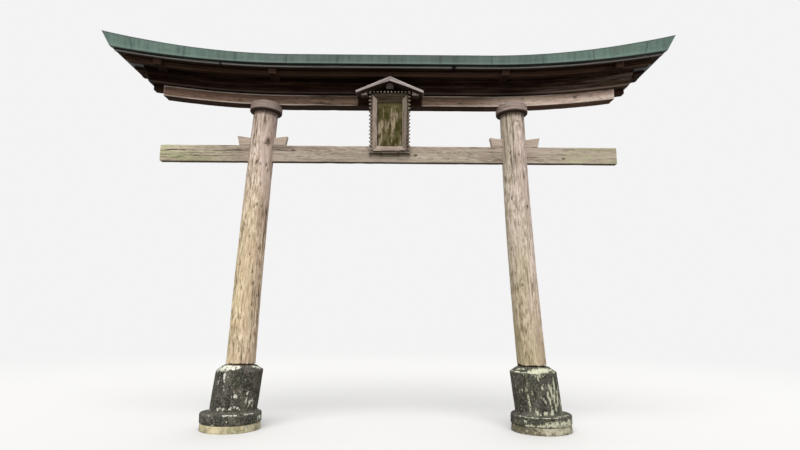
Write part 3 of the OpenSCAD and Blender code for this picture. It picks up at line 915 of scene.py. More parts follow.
def weather(bm: BMesh, grain: Grain, depth: float = 0.0008, chip: float = 0.004) -> None:
    """Gives a timber its grain coordinates, a rippled surface and chipped edges.

    Args:
        bm: The timber, with its worn faces marked.
        grain: Which way its wood runs.
        depth: Depth of the ripples along the grain.
        chip: Depth of the deepest chips along its edges.
    """
    mark_edges(bm)
    wood = bm.verts.layers.float_vector.new(GRAIN)
    edge, under = layer(bm, EDGE), layer(bm, DARK_UNDER_AND_SHADE)
    read = grain.reader()
    seed = grain.seed
    bm.normal_update()
    for vert in bm.verts:
        place = read(vert.co)
        # Marks downward faces for darkening: partly unweathered wood, partly painted shade.
        vert[under] = smooth(-vert.normal.z, 0.45, 0.85)
        ripple = lumps(place, (2.5, 45.0, 45.0), seed) + lumps(place, (1.3, 6.0, 6.0), seed + 4.0)
        bite = max(0.0, bump_noise(place, (9.0, 15.0, 15.0), seed + 9.0) - 0.12) * vert[edge]
        vert[wood] = place + Vector((1.7 * seed, 0.0, 0.0))
        vert.co -= vert.normal * (depth * ripple + chip * bite)


def make_piece(name: str, bm: BMesh, finish: Finish, *nodes: str, sharp: float = 38.0) -> None:
    """Turns a finished mesh into a piece that stands for frame nodes.

    Args:
        name: Name of the piece.
        bm: The mesh, which is used up.
        finish: Its finish.
        nodes: The frame nodes that it stands for.
        sharp: Edges that turn by more than this many degrees stay sharp.
    """
    mesh = bpy.data.meshes.new(name)
    bm.to_mesh(mesh)
    bm.free()
    mesh.shade_smooth()
    mesh.set_sharp_from_angle(angle=math.radians(sharp))
    mesh.materials.append(finish.material())
    piece = add_object(name, mesh)
    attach(piece, "root")
    if nodes:
        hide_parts(*nodes)
    mesh.calc_loop_triangles()
    log.info("%s: %d triangles", name, len(mesh.loop_triangles))


def dress_timber(node: str, finish: Finish, grain: Grain, edge: float = 0.003, pitch: float = 0.012,
                 long_pitch: float | None = None, depth: float = 0.0008) -> None:
    """Builds a small timber from its node's solid.

    Args:
        node: Name of the node.
        finish: Its finish.
        grain: Which way its wood runs.
        edge: Width of the rounding along its edges.
        pitch: Distance between the cuts of its faces.
        long_pitch: The same along X, where it differs.
        depth: Depth of its ripples.
    """
    bm = solid_copy(node, edge, pitch, long_pitch)
    weather(bm, grain, depth)
    make_piece(f"{node}_timber", bm, finish, node)


BEAM_WOOD = Wood("strut_timber", "beam_wood", (0.165, 0.130, 0.098), (0.348, 0.294, 0.236),
                 (0.490, 0.434, 0.358), streak=0.030, seed=6.0)
# Near-black colours that stand in for the deep shade under the roof: painted shade.
SHADE_WOOD = Wood("sheltered_timber", "dark_wood", (0.009, 0.0035, 0.0015), (0.022, 0.009, 0.005),
                  (0.050, 0.026, 0.016), cracks=0.3, under=0.5, seed=2.0)
EAVES_WOOD = Wood("eaves_timber", "purlin_wood", (0.022, 0.011, 0.006), (0.062, 0.034, 0.022),
                  (0.110, 0.066, 0.045), cracks=0.3, seed=5.0)
HOOD_WOOD = Wood("hood_timber", "hood_wood", (0.200, 0.165, 0.148), (0.345, 0.292, 0.270),
                 (0.450, 0.395, 0.372), streak=0.018, length=0.3, cracks=0.3, under=0.98, seed=6.0)
FRAME_WOOD = Wood("tablet_frame_timber", "tablet_frame", (0.150, 0.108, 0.080), (0.365, 0.290, 0.232),
                  (0.520, 0.435, 0.365), streak=0.012, length=0.18, cracks=0.5, flakes=0.6, algae=0.3,
                  algae_tone=(0.22, 0.20, 0.10), seed=8.0)
# The head rail's dark colours are painted shade from the hood; its worn colour lights the scallop crests as
# painted light.
FRAME_SHADE = Wood("tablet_head_timber", "tablet_frame", (0.021, 0.014, 0.008), (0.047, 0.033, 0.019),
                   (0.100, 0.074, 0.048), streak=0.012, length=0.25, cracks=0.4, wear=1.3,
                   worn=(0.440, 0.375, 0.300), seed=9.0)
# A darker copy of the frame's colours for the right rail: painted shade on the side away from the light.
FRAME_SHADED_SIDE = replace(FRAME_WOOD, name="tablet_frame_dim", dark=(0.110, 0.080, 0.058),
                    mid=(0.225, 0.180, 0.138), pale=(0.330, 0.275, 0.225))
# A much paler copy for the purlins' ends: painted light on ends that sit in shade.
HOOD_LIT_ENDS = replace(HOOD_WOOD, name="hood_end_timber", mid=(0.760, 0.680, 0.620), pale=(0.840, 0.770, 0.710))
RUST = Iron("rusted_iron", "iron")
PATINA = Copper("patinated_copper", "copper_sheet")


@dataclass(frozen=True)
class Growth:
    """One patch of lichen on a base stone, or one mark on a log.

    Attributes:
        angle: Direction from the middle, in degrees to the right of straight ahead.
        height: Height above the foot; on a ledge, the distance out from the drum.
        width: Half its width along the surface.
        tall: Half its height.
        strength: How thick it is.
    """

    angle: float
    height: float
    width: float
    tall: float
    strength: float = 1.0

    def at(self, angle: float, height: float, radius: float) -> float:
        """Thickness of the patch at a point of the surface.

        Args:
            angle: The point's direction, in degrees.
            height: Its height.
            radius: Its distance from the axis.

        Returns:
            The thickness.
        """
        up = (height - self.height) / self.tall
        if abs(up) > PATCH_REACH:
            return 0.0
        off = (angle - self.angle + 180.0) % 360.0 - 180.0
        across = math.radians(off) * radius / self.width
        return self.strength * math.exp(-(across * across + up * up))


def patches(*rows: tuple[float, ...]) -> tuple[Growth, ...]:
    """Patches from rows of their values, in the order of the fields, with lengths in millimetres."""
    return tuple(Growth(row[0], *(part / 1000.0 for part in row[1:4]), *row[4:]) for row in rows)


def thickest(found: Iterable[Growth], angle: float, height: float, radius: float) -> float:
    """Thickness of the thickest patch at a point."""
    return max((growth.at(angle, height, radius) for growth in found), default=0.0)


@dataclass(frozen=True)
class Lichen:
    """All the lichen of one base stone: on its drum, on its flange's face and footing, and on its ledge."""

    drum: tuple[Growth, ...]
    face: tuple[Growth, ...]
    ledge: tuple[Growth, ...]

    def with_back(self, seed: int) -> "Lichen":
        """Adds much the same lichen, at random, on the side that the photograph doesn't show.

        Args:
            seed: Seed of the random turns.

        Returns:
            The lichen all round.
        """
        draw = random.Random(seed)
        both = []
        for shown in (self.drum, self.face, self.ledge):
            turned = [180.0 - growth.angle + draw.uniform(-14.0, 14.0) for growth in shown]
            both.append(shown + tuple(replace(growth, angle=angle) for growth, angle in zip(shown, turned)))
        return Lichen(*both)


LEFT_LICHEN = Lichen(
    drum=patches(
        (-76, 318, 20, 18), (-64, 322, 16, 22, 1.1), (-58, 338, 35, 18, 1.1), (-39, 345, 45, 22, 1.3),
        (-21, 348, 40, 22, 1.3), (-5, 350, 35, 18, 1.2), (10, 352, 35, 14, 1.1), (-50, 318, 14, 16),
        (-28, 326, 16, 14, 0.9), (63, 350, 30, 10, 0.75), (79, 344, 30, 12, 0.9), (36, 352, 20, 8, 0.5),
        (-21, 279, 11, 34, 1.3), (-20, 300, 12, 12), (-18, 244, 7, 14, 0.9), (-38, 230, 8, 22, 0.8),
        (-19, 206, 7, 10, 0.8), (-17, 178, 6, 10, 0.7), (-3, 221, 6, 8, 0.8), (6, 218, 9, 8),
        (2, 197, 5, 7, 0.8), (9, 166, 6, 14, 0.9), (13, 131, 17, 14, 1.4), (18, 117, 8, 8),
        (22, 144, 8, 8, 0.7), (23, 165, 6, 10, 0.7), (28, 178, 8, 12, 0.7), (43, 146, 12, 20, 0.85),
        (42, 98, 12, 30, 0.85), (51, 74, 18, 30, 0.9), (62, 84, 12, 26, 0.8), (50, 47, 18, 18, 0.85),
        (61, 49, 12, 18, 0.8), (70, 130, 6, 12, 0.7), (53, 260, 4, 6, 0.8), (34, 274, 4, 6, 0.7),
        (32, 250, 5, 6, 0.7), (-60, 16, 8, 12, 1.2), (-25, 25, 14, 9, 1.2), (-18, 40, 7, 10),
        (-10, 31, 10, 10, 1.2), (5, 32, 14, 8, 1.2), (7, 42, 8, 8), (16, 48, 9, 12, 1.2),
        (24, 40, 10, 12, 1.2), (28, 29, 10, 8, 1.1)),
    face=patches(
        (8, -54, 8, 8, 0.8), (-18, -80, 16, 12, 0.7), (80, -50, 50, 30, 0.6), (38, -66, 10, 8, 0.6),
        (60, -115, 120, 30, 0.6)),
    ledge=patches(
        (5, 36, 22, 13, 1.4), (15, 38, 16, 12, 1.4), (23, 36, 12, 12, 1.3), (46, 32, 20, 12, 1.2),
        (58, 34, 20, 12, 1.1), (-30, 46, 30, 6, 0.6)))
RIGHT_LICHEN = Lichen(
    drum=patches(
        (-81, 325, 20, 8, 0.9), (-57, 327, 50, 7, 0.9), (-39, 325, 40, 6, 0.8), (-31, 327, 30, 6, 0.8),
        (-50, 312, 6, 10, 0.7), (-36, 308, 5, 12, 0.8), (-30, 310, 4, 10, 0.7), (-22, 331, 30, 14, 1.1),
        (-9, 334, 35, 22, 1.3), (-1, 328, 35, 24, 1.3), (8, 338, 40, 22, 1.3), (20, 342, 40, 18, 1.2),
        (30, 343, 35, 16, 1.1), (-60, 346, 40, 9, 0.8), (-40, 349, 40, 8, 0.8), (-16, 305, 6, 12),
        (-9, 302, 6, 14), (-3, 285, 7, 22, 1.2), (5, 300, 6, 12, 0.9), (11, 299, 6, 12),
        (45, 343, 35, 12, 0.9), (58, 341, 35, 10, 0.85), (51, 326, 30, 7, 0.9), (70, 330, 30, 7, 0.8),
        (-66, 237, 10, 40, 0.7), (-46, 190, 8, 22, 0.9), (-54, 165, 8, 35, 0.6), (-30, 250, 8, 30, 0.7),
        (-34, 190, 12, 35, 0.95), (-33, 141, 10, 35), (-31, 93, 9, 35), (-32, 45, 10, 22),
        (-58, 49, 14, 30, 0.6), (-21, 182, 6, 9, 0.9), (-14, 197, 6, 9, 0.9), (-21, 161, 6, 8, 0.8),
        (4, 208, 8, 13, 1.5), (-1, 136, 7, 9), (4, 129, 7, 8), (-18, 127, 6, 10, 0.8), (-7, 163, 6, 8, 0.8),
        (23, 220, 10, 36), (16, 155, 10, 38), (19, 110, 14, 44, 1.1), (28, 185, 11, 55, 1.1),
        (40, 222, 13, 60, 1.2), (34, 129, 14, 55, 1.1), (49, 156, 13, 50, 1.05), (46, 101, 14, 40, 1.05),
        (22, 38, 14, 34, 1.2), (36, 66, 13, 45), (58, 190, 10, 60, 0.9), (60, 80, 12, 40, 0.9),
        (9, 98, 8, 20, 0.8), (-16, 21, 18, 18, 1.1), (-9, 10, 12, 10), (4, 19, 16, 12, 1.1),
        (21, 14, 22, 12, 1.3)),
    face=patches(
        (-43, -48, 18, 16, 0.9), (-38, -80, 30, 14, 0.8), (-26, -82, 50, 16, 0.9), (-14, -78, 50, 18, 0.95),
        (-1, -66, 50, 22), (13, -62, 50, 26, 1.1), (29, -60, 50, 28, 1.1), (45, -55, 50, 30),
        (60, -50, 50, 30, 0.8), (-60, -60, 30, 20, 0.6), (-2, -108, 70, 36, 1.1), (20, -108, 80, 40, 1.5),
        (45, -104, 100, 42, 1.5), (75, -104, 100, 42, 1.2)),
    ledge=patches(
        (-60, 48, 40, 6, 0.9), (-42, 49, 40, 6), (-22, 49, 40, 6, 1.1), (-4, 48, 40, 6), (13, 47, 30, 6, 0.9),
        (30, 30, 30, 10, 0.7), (50, 30, 40, 12, 0.8)))
LEFT_MARKS = patches(
    (40, 1888, 12, 17, 1.5), (47, 1868, 11, 10, 1.3), (30, 1862, 24, 6, 1.1), (42, 1918, 6, 14, 0.9),
    (-19, 1756, 5, 12), (-2, 1690, 6, 10), (15, 1675, 5, 12), (44, 1675, 7, 14), (55, 1631, 6, 12),
    (-5, 1507, 5, 14), (20, 1321, 6, 12), (43, 1310, 6, 14), (35, 658, 6, 14), (29, 755, 6, 16),
    (60, 562, 6, 16), (47, 954, 6, 16), (38, 487, 6, 12), (15, 60, 4, 60, 1.1), (13, 130, 3, 40),
    (-44, 1100, 5, 18), (-30, 820, 5, 16), (-52, 420, 6, 20, 0.9), (2, 1050, 4, 12), (-36, 240, 5, 14),
    (10, 900, 5, 10), (-12, 620, 5, 12, 0.9), (26, 1500, 4, 16))
RIGHT_MARKS = patches(
    (14, 2070, 10, 8, 0.8), (-69, 1573, 14, 30, 0.8), (31, 1576, 12, 22, 0.75), (8, 1212, 6, 14, 0.45),
    (-6, 1756, 5, 14), (-30, 1792, 6, 14), (11, 1772, 5, 12), (23, 1314, 6, 14, 0.45), (-37, 1395, 7, 16),
    (21, 590, 6, 14, 0.45), (-61, 217, 8, 22, 0.45), (-15, 223, 6, 14, 0.45), (3, 792, 4, 20, 0.45),
    (4, 740, 4, 30, 0.45), (6, 680, 4, 30, 0.45), (7, 627, 4, 20, 0.45), (-25, 413, 6, 16, 0.45),
    (19, 1043, 6, 14, 0.45), (3, 966, 5, 14, 0.45), (-48, 900, 6, 20, 0.6), (-20, 1100, 4, 16, 0.45),
    (44, 330, 6, 16, 0.45), (-40, 640, 5, 18, 0.45))


@dataclass
class Bases:
    """The round footings and the stones that carry the pillars.

    Attributes:
        flange_round: Rounding of the flange's upper edge.
        flange_h: Height of the flange.
        fall: How much its upper face falls towards its rim.
        drum_x: Distance from the centre line to the middle of the drum's foot.
        drum_r: Radius of the drum.
        drum_h: Height of the drum.
        drum_shift: How far the drum leans in over its height.
        dome_h: Height of the dome.
        seat_r: Radius of the pillar's seat.
        steps: Points round each stone.
        pitch: Distance between points along the profile.
        chip: Depth of the deepest chips.
        lump: Depth of a stone's low lumps.
        pit: Depth of its pits.
        footing_lump: Depth of a footing's lumps.
        footing_pit: Depth of its pits.
    """

    flange_round: float = 0.014
    flange_h: float = 0.086
    fall: float = 0.008
    drum_x: float = 1.243
    drum_r: float = 0.190
    drum_h: float = 0.328
    drum_shift: float = 0.038
    dome_h: float = 0.033
    seat_r: float = 0.128
    steps: int = 180
    pitch: float = 0.006
    chip: float = 0.011
    lump: float = 0.0035
    pit: float = 0.0022
    footing_lump: float = 0.006
    footing_pit: float = 0.003

    def lichen(self, side: Side) -> Lichen:
        """The lichen of one stone and its footing, all round."""
        return (LEFT_LICHEN if side is Side.LEFT else RIGHT_LICHEN).with_back(5 + side.value)

    def stone_profile(self, low: float, high: float, flange_r: float) -> list[tuple[float, float]]:
        """Draws the stone's profile.

        Args:
            low: Height of its bed.
            high: Height of its top.
            flange_r: Radius of its flange.

        Returns:
            Radius and height of its corners, from the bed to the seat's middle.
        """
        top = low + self.flange_h
        rim = high - self.dome_h
        turn = self.flange_round
        curve = [(flange_r - turn * (1.0 - math.sin(a)), top - self.fall - turn * (1.0 - math.cos(a)))
                 for a in (math.radians(90.0 - 22.5 * k) for k in range(5))]
        return [(0.0, low), (flange_r - 0.006, low), (flange_r, low + 0.006), *curve,
                (self.drum_r + 0.012, top - 0.003), (self.drum_r, top + 0.006), (self.drum_r, rim - 0.010),
                (self.drum_r - 0.004, rim - 0.003), (self.drum_r - 0.014, rim + 0.001),
                (self.seat_r + 0.012, high - 0.006), (self.seat_r - 0.004, high), (0.0, high)]

    def lichen_at(self, spot: Vector, lichen: Lichen, top: float, flange_r: float) -> float:
        """Thickness of the lichen at a point of a stone, before its drum is leant.

        Args:
            spot: The point, measured from the stone's axis.
            lichen: The stone's patches.
            top: Height of the flange's upper face.
            flange_r: Radius of the flange.

        Returns:
            The thickness, from 0 to about 1.
        """
        radius = math.hypot(spot.x, spot.y)
        angle = bearing(spot)
        height = spot.z - top
        if radius < self.drum_r + 0.008 and height > -0.004:
            return thickest(lichen.drum, angle, height, self.drum_r)
        if height > -self.fall - 0.010 and radius > self.drum_r:
            return max(thickest(lichen.ledge, angle, radius - self.drum_r, self.drum_r),
                       thickest(lichen.face, angle, height, flange_r))
        return thickest(lichen.face, angle, height, flange_r)

    def build_stone(self, side: Side) -> None:
        """Builds one base stone.

        Args:
            side: Its side of the gate.
        """
        node = f"base_stone_{side.word}"
        low, high = node_box(node)
        flange_r = (high.y - low.y) / 2
        flange_x = side.value * (high.x - low.x) / 2 + (low.x if side is Side.RIGHT else high.x)
        bm = spun(self.stone_profile(low.z, high.z, flange_r), self.pitch, self.steps)
        top = low.z + self.flange_h
        seed = 3.0 + side.value
        bm.normal_update()
        grown = layer(bm, LICHEN)
        lichen = self.lichen(side)
        for vert in bm.verts:
            vert[grown] = self.lichen_at(vert.co, lichen, top, flange_r)
            radius = math.hypot(vert.co.x, vert.co.y)
            climb = clamp((vert.co.z - top) / self.drum_h)
            on_drum = float(vert.co.z >= top - 0.012)
            if on_drum and vert.co.z < top + 0.004:
                on_drum = smooth(radius, flange_r - 0.020, self.drum_r + 0.010)
            drum_x = side.value * (self.drum_x - self.drum_shift * climb)
            centre = flange_x + (drum_x - flange_x) * on_drum
            relief = self.lump * lumps(vert.co, (9.0, 9.0, 7.0), seed)
            relief += self.pit * pits(vert.co, (55.0, 55.0, 38.0), seed + 5.0)
            rim = math.exp(-((vert.co.z - (high.z - self.dome_h)) / 0.016) ** 2)
            brink = math.exp(-((vert.co.z - top + self.fall) / 0.016) ** 2)
            brink *= smooth(radius, flange_r - 0.03, flange_r - 0.01)
            relief += self.chip * (pits(vert.co, (16.0, 16.0, 22.0), seed + 9.0) * max(rim, brink))
            seated = smooth(vert.co.z, low.z, low.z + 0.01)
            seated *= 1.0 - smooth(vert.co.z, high.z - 0.004, high.z)
            vert.co += Vector((centre, 0.0, 0.0)) - vert.normal * relief * max(0.12, seated)
        finish = Stone(f"stone_{side.word}", "base_stone", seed=seed)
        if side is Side.RIGHT:
            finish = replace(finish, young=(0.205, 0.215, 0.125), old=(0.600, 0.585, 0.440))
        make_piece(f"{node}_rough", bm, finish, node, sharp=60.0)

    def build_footing(self, side: Side) -> None:
        """Builds one footing.

        Args:
            side: Its side of the gate.
        """
        node = f"footing_{side.word}"
        low, high = node_box(node)
        radius = (high.y - low.y) / 2
        middle = (low + high) / 2
        profile = [(0.0, low.z), (radius - 0.002, low.z), (radius, low.z + 0.004),
                   (radius - 0.003, high.z - 0.008), (radius - 0.010, high.z), (0.0, high.z)]
        bm = spun(profile, pitch=0.008, steps=120)
        seed = 6.0 + side.value
        grown = layer(bm, LICHEN)
        growths = self.lichen(side).face
        for vert in bm.verts:
            vert[grown] = thickest(growths, bearing(vert.co), vert.co.z - high.z - self.flange_h, radius)
            rim = smooth(math.hypot(vert.co.x, vert.co.y), radius - 0.03, radius)
            relief = self.footing_lump * lumps(vert.co, (11.0, 11.0, 18.0), seed)
            relief += self.footing_pit * pits(vert.co, (60.0, 60.0, 60.0), seed + 3.0)
            outward = Vector((vert.co.x, vert.co.y, 0.0)).normalized()
            vert.co -= outward * rim * relief
            vert.co += Vector((middle.x, middle.y, 0.0))
        finish = Concrete(f"footing_{side.word}_concrete", "footing_concrete", seed=seed)
        if side is Side.RIGHT:
            finish = replace(finish, tone=(0.165, 0.140, 0.098), growth=(0.540, 0.500, 0.370))
        make_piece(f"{node}_rough", bm, finish, node, sharp=60.0)

    def build(self) -> None:
        """Builds both footings and both stones."""
        for side in Side:
            self.build_footing(side)
            self.build_stone(side)


@dataclass
class Split:
    """A long drying check in a log.

    Attributes:
        angle: Where it is round the log.
        start: Share of the height at which it starts.
        end: Share of the height at which it ends.
        width: Half its width.
        depth: Its depth.
        seed: Makes it wander.
    """

    angle: float
    start: float
    end: float
    width: float
    depth: float
    seed: float

    def depth_at(self, angle: float, share: float, radius: float) -> float:
        """Depth of the check at a point of the log.

        Args:
            angle: The point's direction.
            share: Its share of the height.
            radius: Its distance from the axis.
        """
        if not self.start < share < self.end:
            return 0.0
        middle = self.angle + 0.10 * noise.noise(Vector((3.0 * share, self.seed, 0.0)))
        off = turn_between(angle, middle) * radius
        along = (share - self.start) / (self.end - self.start)
        width = self.width * (0.35 + math.sin(math.pi * along))
        if off >= width:
            return 0.0
        return self.depth * math.sin(math.pi * along) ** 0.5 * (1.0 - off / width)


@dataclass
class Pillars:
    """The two log pillars, with drying checks, knots and a bevelled foot.

    Attributes:
        foot_r: Radius at the foot.
        head_r: Radius at the head.
        foot_x: Distance from the centre line to the foot's middle.
        lean: How far a pillar leans in over its height.
        bows: Sideways bow of each log at mid height.
        bevel: How far the rotten foot stands back.
        rotten: Height up to which the foot has rotted away.
        foot_cuts: Rings of points over that height.
        steps: Points round each log.
        pitch: Distance between its rings of points.
        splits: Number of drying checks in each log.
        split_w: Least and greatest half width of a check.
        split_depth: Least and greatest depth of a check.
        hollow: Depth of the low hollows of a log.
        fibre: Depth of its fibres.
        flake: Depth of the long flakes.
        chop: Depth of the short flakes.
        mark: Depth of its marks.
        grain_gap: Distance between the logs' grain, so that they don't look alike.
    """

    foot_r: float = 0.120
    head_r: float = 0.107
    foot_x: float = 1.200
    lean: float = 0.114
    bows: dict[Side, float] = field(default_factory=lambda: {Side.LEFT: -0.009, Side.RIGHT: -0.015})
    bevel: float = 0.016
    rotten: float = 0.026
    foot_cuts: int = 9
    steps: int = 200
    pitch: float = 0.009
    splits: int = 18
    split_w: tuple[float, float] = (0.0025, 0.0045)
    split_depth: tuple[float, float] = (0.003, 0.008)
    hollow: float = 0.0030
    fibre: float = 0.0011
    flake: float = 0.0018
    chop: float = 0.0026
    mark: float = 0.003
    grain_gap: float = 3.0

    def draw_splits(self, side: Side) -> list[Split]:
        """Args:
            side: Its side of the gate.

        Returns:
            The checks, always the same for a side.
        """
        draw = random.Random(41 + side.value)
        found = []
        for number in range(self.splits):
            start = draw.uniform(-0.05, 0.85)
            found.append(Split(draw.uniform(0.0, 2.0 * math.pi), start, start + draw.uniform(0.08, 0.32),
                               draw.uniform(*self.split_w), draw.uniform(*self.split_depth), 7.0 * number))
        return found

    def build_log(self, side: Side, found: tuple[Knot, ...], marks: tuple[Growth, ...]) -> None:
        """Builds one log.

        Args:
            side: Its side of the gate.
            found: Its knots.
            marks: Its dark flecks and short checks.
        """
        node = f"pillar_{side.word}"
        low, high = node_box(node)
        height = high.z - low.z - self.head_r * self.lean / PILLAR_RISE
        bm = bmesh.new()
        bmesh.ops.create_cone(bm, cap_ends=True, segments=self.steps, radius1=1.0, radius2=1.0, depth=1.0,
                              matrix=Matrix.Translation((0.0, 0.0, 0.5)))
        upright = [e for e in bm.edges if abs(e.verts[0].co.z - e.verts[1].co.z) > 0.5]
        bmesh.ops.subdivide_edges(bm, edges=upright, cuts=int(height / self.pitch), use_grid_fill=True)
        for cut in range(1, self.foot_cuts):
            slice_at(bm, 2, cut * self.rotten / self.foot_cuts / height, 1e-7)
        wood = bm.verts.layers.float_vector.new(GRAIN)
        check, under = layer(bm, CHECK_AND_SHADE), layer(bm, DARK_UNDER_AND_SHADE)
        splits = self.draw_splits(side)
        seed = 12.0 + 5.0 * side.value
        shift = self.grain_gap * side.value
        slope = self.lean / height
        for vert in bm.verts:
            share = vert.co.z
            angle = math.atan2(vert.co.y, vert.co.x)
            radius = self.foot_r + (self.head_r - self.foot_r) * share
            spot = Vector((vert.co.x * radius, vert.co.y * radius, share * height))
            mark = thickest(marks, bearing(vert.co), spot.z, radius)
            cut = max(split.depth_at(angle, share, radius) for split in splits)
            rot = self.rotten * (0.45 + 0.55 * bump_noise(spot, (17.0, 17.0, 0.0), seed + 8.0))
            rot += 0.35 * self.rotten * bump_noise(spot, (60.0, 60.0, 0.0), seed + 9.0)
            foot = smooth(share * height, rot - 0.002, rot + 0.002)
            body = self.hollow * lumps(spot, (7.0, 7.0, 1.1), seed)
            inward = body + self.fibre * lumps(spot, (75.0, 75.0, 1.6), seed + 3.0) + cut + self.mark * mark
            flakes = self.flake * pits(spot, (28.0, 28.0, 4.5), seed + 6.0)
            inward += flakes + self.chop * pits(spot, (58.0, 58.0, 15.0), seed + 7.0)
            swell = 0.0
            for knot in found:
                far = (Vector((spot.z, spot.y, spot.x)) - Vector(knot.at)).length
                swell += 0.35 * knot.radius * math.exp(-((far / (1.8 * knot.radius)) ** 2))
                swell -= 0.45 * knot.radius * math.exp(-((far / (0.7 * knot.radius)) ** 2))
            real = min(radius, radius - inward + swell) - self.bevel * (1.0 - foot)
            bow = 4.0 * share * (1.0 - share) * self.bows[side]
            centre = side.value * (self.foot_x - self.lean * share) + bow
            local_x = math.cos(angle) * real
            tilt = side.value * share * local_x * slope
            vert[wood] = Vector((spot.z + shift, spot.y, spot.x))
            # Besides the checks and marks, the rotted foot's recess is painted black as shade.
            vert[check] = max(0.92 * clamp(cut / self.split_depth[1]), 1.0 - foot, clamp(1.1 * mark))
            # Painted shadow of the cap ring: a dark band round the top of the log.
            vert[under] = 0.85 * smooth(spot.z, height - 0.045, height - 0.014)
            vert.co = Vector((centre + local_x, math.sin(angle) * real, low.z + share * height + tilt))
        shifted = tuple(replace(knot, at=(knot.at[0] + shift, *knot.at[1:])) for knot in found)
        # The hues and their slope across the log paint one side lighter than the other: painted light.
        finish = Wood(f"log_{side.word}", "pillar_log", (0.235, 0.168, 0.108), (0.550, 0.432, 0.285),
                      (0.780, 0.655, 0.480), streak=0.015, length=0.17, cracks=0.55, fleck=0.4, flakes=0.95,
                      seed=seed, knots=shifted, hue_slope=1.6, hues=((1.01, 1.02, 0.93), (0.99, 0.955, 0.99)),
                      drift=(0.9 + shift, 2.3 + shift, (0.96, 0.95, 1.22)))
        if side is Side.RIGHT:
            finish = replace(finish, dark=(0.215, 0.165, 0.105), mid=(0.415, 0.332, 0.222),
                             pale=(0.570, 0.475, 0.345), hues=((0.91, 0.94, 0.84), (1.03, 1.005, 1.02)),
                             drift=(0.2 + shift, 1.5 + shift, (1.27, 1.29, 1.62)), length=0.30)
        make_piece(f"{node}_log", bm, finish, node, sharp=70.0)

    def build(self) -> None:
        """Builds both logs."""
        left = knots((1.880, -0.082, 0.071, 0.019), (1.15, -0.095, -0.050, 0.009),
                     (0.52, 0.060, 0.095, 0.011), (1.62, -0.076, -0.076, 0.008))
        right = knots((1.32, -0.088, 0.066, 0.010), (0.66, -0.105, -0.035, 0.009),
                      (1.92, 0.090, -0.050, 0.012))
        self.build_log(Side.LEFT, left, LEFT_MARKS)
        self.build_log(Side.RIGHT, right, RIGHT_MARKS)


@dataclass
class CapRings:
    """The rounded wooden rings on the pillars' heads.

    Attributes:
        height: Height of a ring.
        rounding: Rounding of its edges.
        head_x: Distance from the centre line to a pillar's head.
        tilt: Lean of the pillars, in radians.
        radius: Radius of a ring.
        lump: Depth of its lumps.
        fibre: Depth of its fibres.
        splits: Number of its drying checks.
        split_w: Half their width.
        split_depth: Least and greatest depth of a check.
        steps: Points round each ring.
    """

    height: float = 0.084
    rounding: float = 0.012
    head_x: float = 1.086
    tilt: float = math.atan(0.114 / PILLAR_RISE)
    radius: float = 0.140
    lump: float = 0.003
    fibre: float = 0.0012
    splits: int = 4
    split_w: float = 0.004
    split_depth: tuple[float, float] = (0.002, 0.004)
    steps: int = 128

    def build_ring(self, side: Side) -> None:
        """Builds one ring.

        Args:
            side: Its side of the gate.
        """
        node = f"cap_ring_{side.word}"
        low, _ = node_box(node)
        base = low.z + self.radius * math.sin(self.tilt) * 0.91
        inner, turn = self.radius - self.rounding, self.rounding
        quarter = [math.radians(22.5 * k) for k in range(5)]
        lower = [(inner + turn * math.sin(a), turn - turn * math.cos(a)) for a in quarter]
        upper = [(inner + turn * math.cos(a), self.height - turn + turn * math.sin(a)) for a in quarter]
        bm = spun([(0.0, 0.0), *lower, *upper, (0.0, self.height)], pitch=0.006, steps=self.steps)
        leaning = Matrix.Rotation(-side.value * self.tilt, 4, "Y")
        place = Matrix.Translation((side.value * self.head_x, 0.0, base)) @ leaning
        wood = bm.verts.layers.float_vector.new(GRAIN)
        check, edge, under = (layer(bm, name) for name in (CHECK_AND_SHADE, EDGE, DARK_UNDER_AND_SHADE))
        seed = 20.0 + 3.0 * side.value
        draw = random.Random(7 + side.value)
        splits = [(draw.uniform(0.0, 2.0 * math.pi), draw.uniform(*self.split_depth))
                  for _ in range(self.splits)]
        for vert in bm.verts:
            spot = vert.co.copy()
            angle = math.atan2(spot.y, spot.x)
            rim = smooth(math.hypot(spot.x, spot.y), 0.6 * self.radius, self.radius)
            cut = 0.0
            for middle, depth in splits:
                off = turn_between(angle, middle) * self.radius
                cut = max(cut, depth * (1.0 - off / self.split_w) * rim)
            relief = self.lump * lumps(spot, (9.0, 9.0, 14.0), seed)
            relief += self.fibre * lumps(spot, (4.0, 5.0, 110.0), seed + 2.0)
            out = Vector((spot.x, spot.y, 0.0)).normalized()
            vert[wood] = Vector((spot.x + seed, 0.16 * spot.y, spot.z + 0.05 * spot.x))
            # Painted shade: the ring's lower band is darkened, through the under and the check attribute.
            vert[under] = 1.0 - smooth(spot.z, 0.8 * self.rounding, 1.5 * self.rounding)
            vert[check] = max(clamp(cut / 0.005), 0.8 * vert[under])
            vert[edge] = rim * float(abs(spot.z - self.height / 2) > self.height / 2 - self.rounding)
            vert.co = place @ (spot - out * rim * (relief + cut))
        finish = Wood(f"ring_{side.word}", "cap_ring", (0.170, 0.122, 0.100), (0.320, 0.245, 0.210),
                      (0.450, 0.365, 0.325), streak=0.007, length=0.30, cracks=0.0, under=0.98, seed=seed)
        if side is Side.RIGHT:
            finish = replace(finish, mid=(0.390, 0.304, 0.262), pale=(0.550, 0.452, 0.405))
        make_piece(f"{node}_turned", bm, finish, node, sharp=60.0)

    def build(self) -> None:
        """Builds both rings."""
        for side in Side:
            self.build_ring(side)


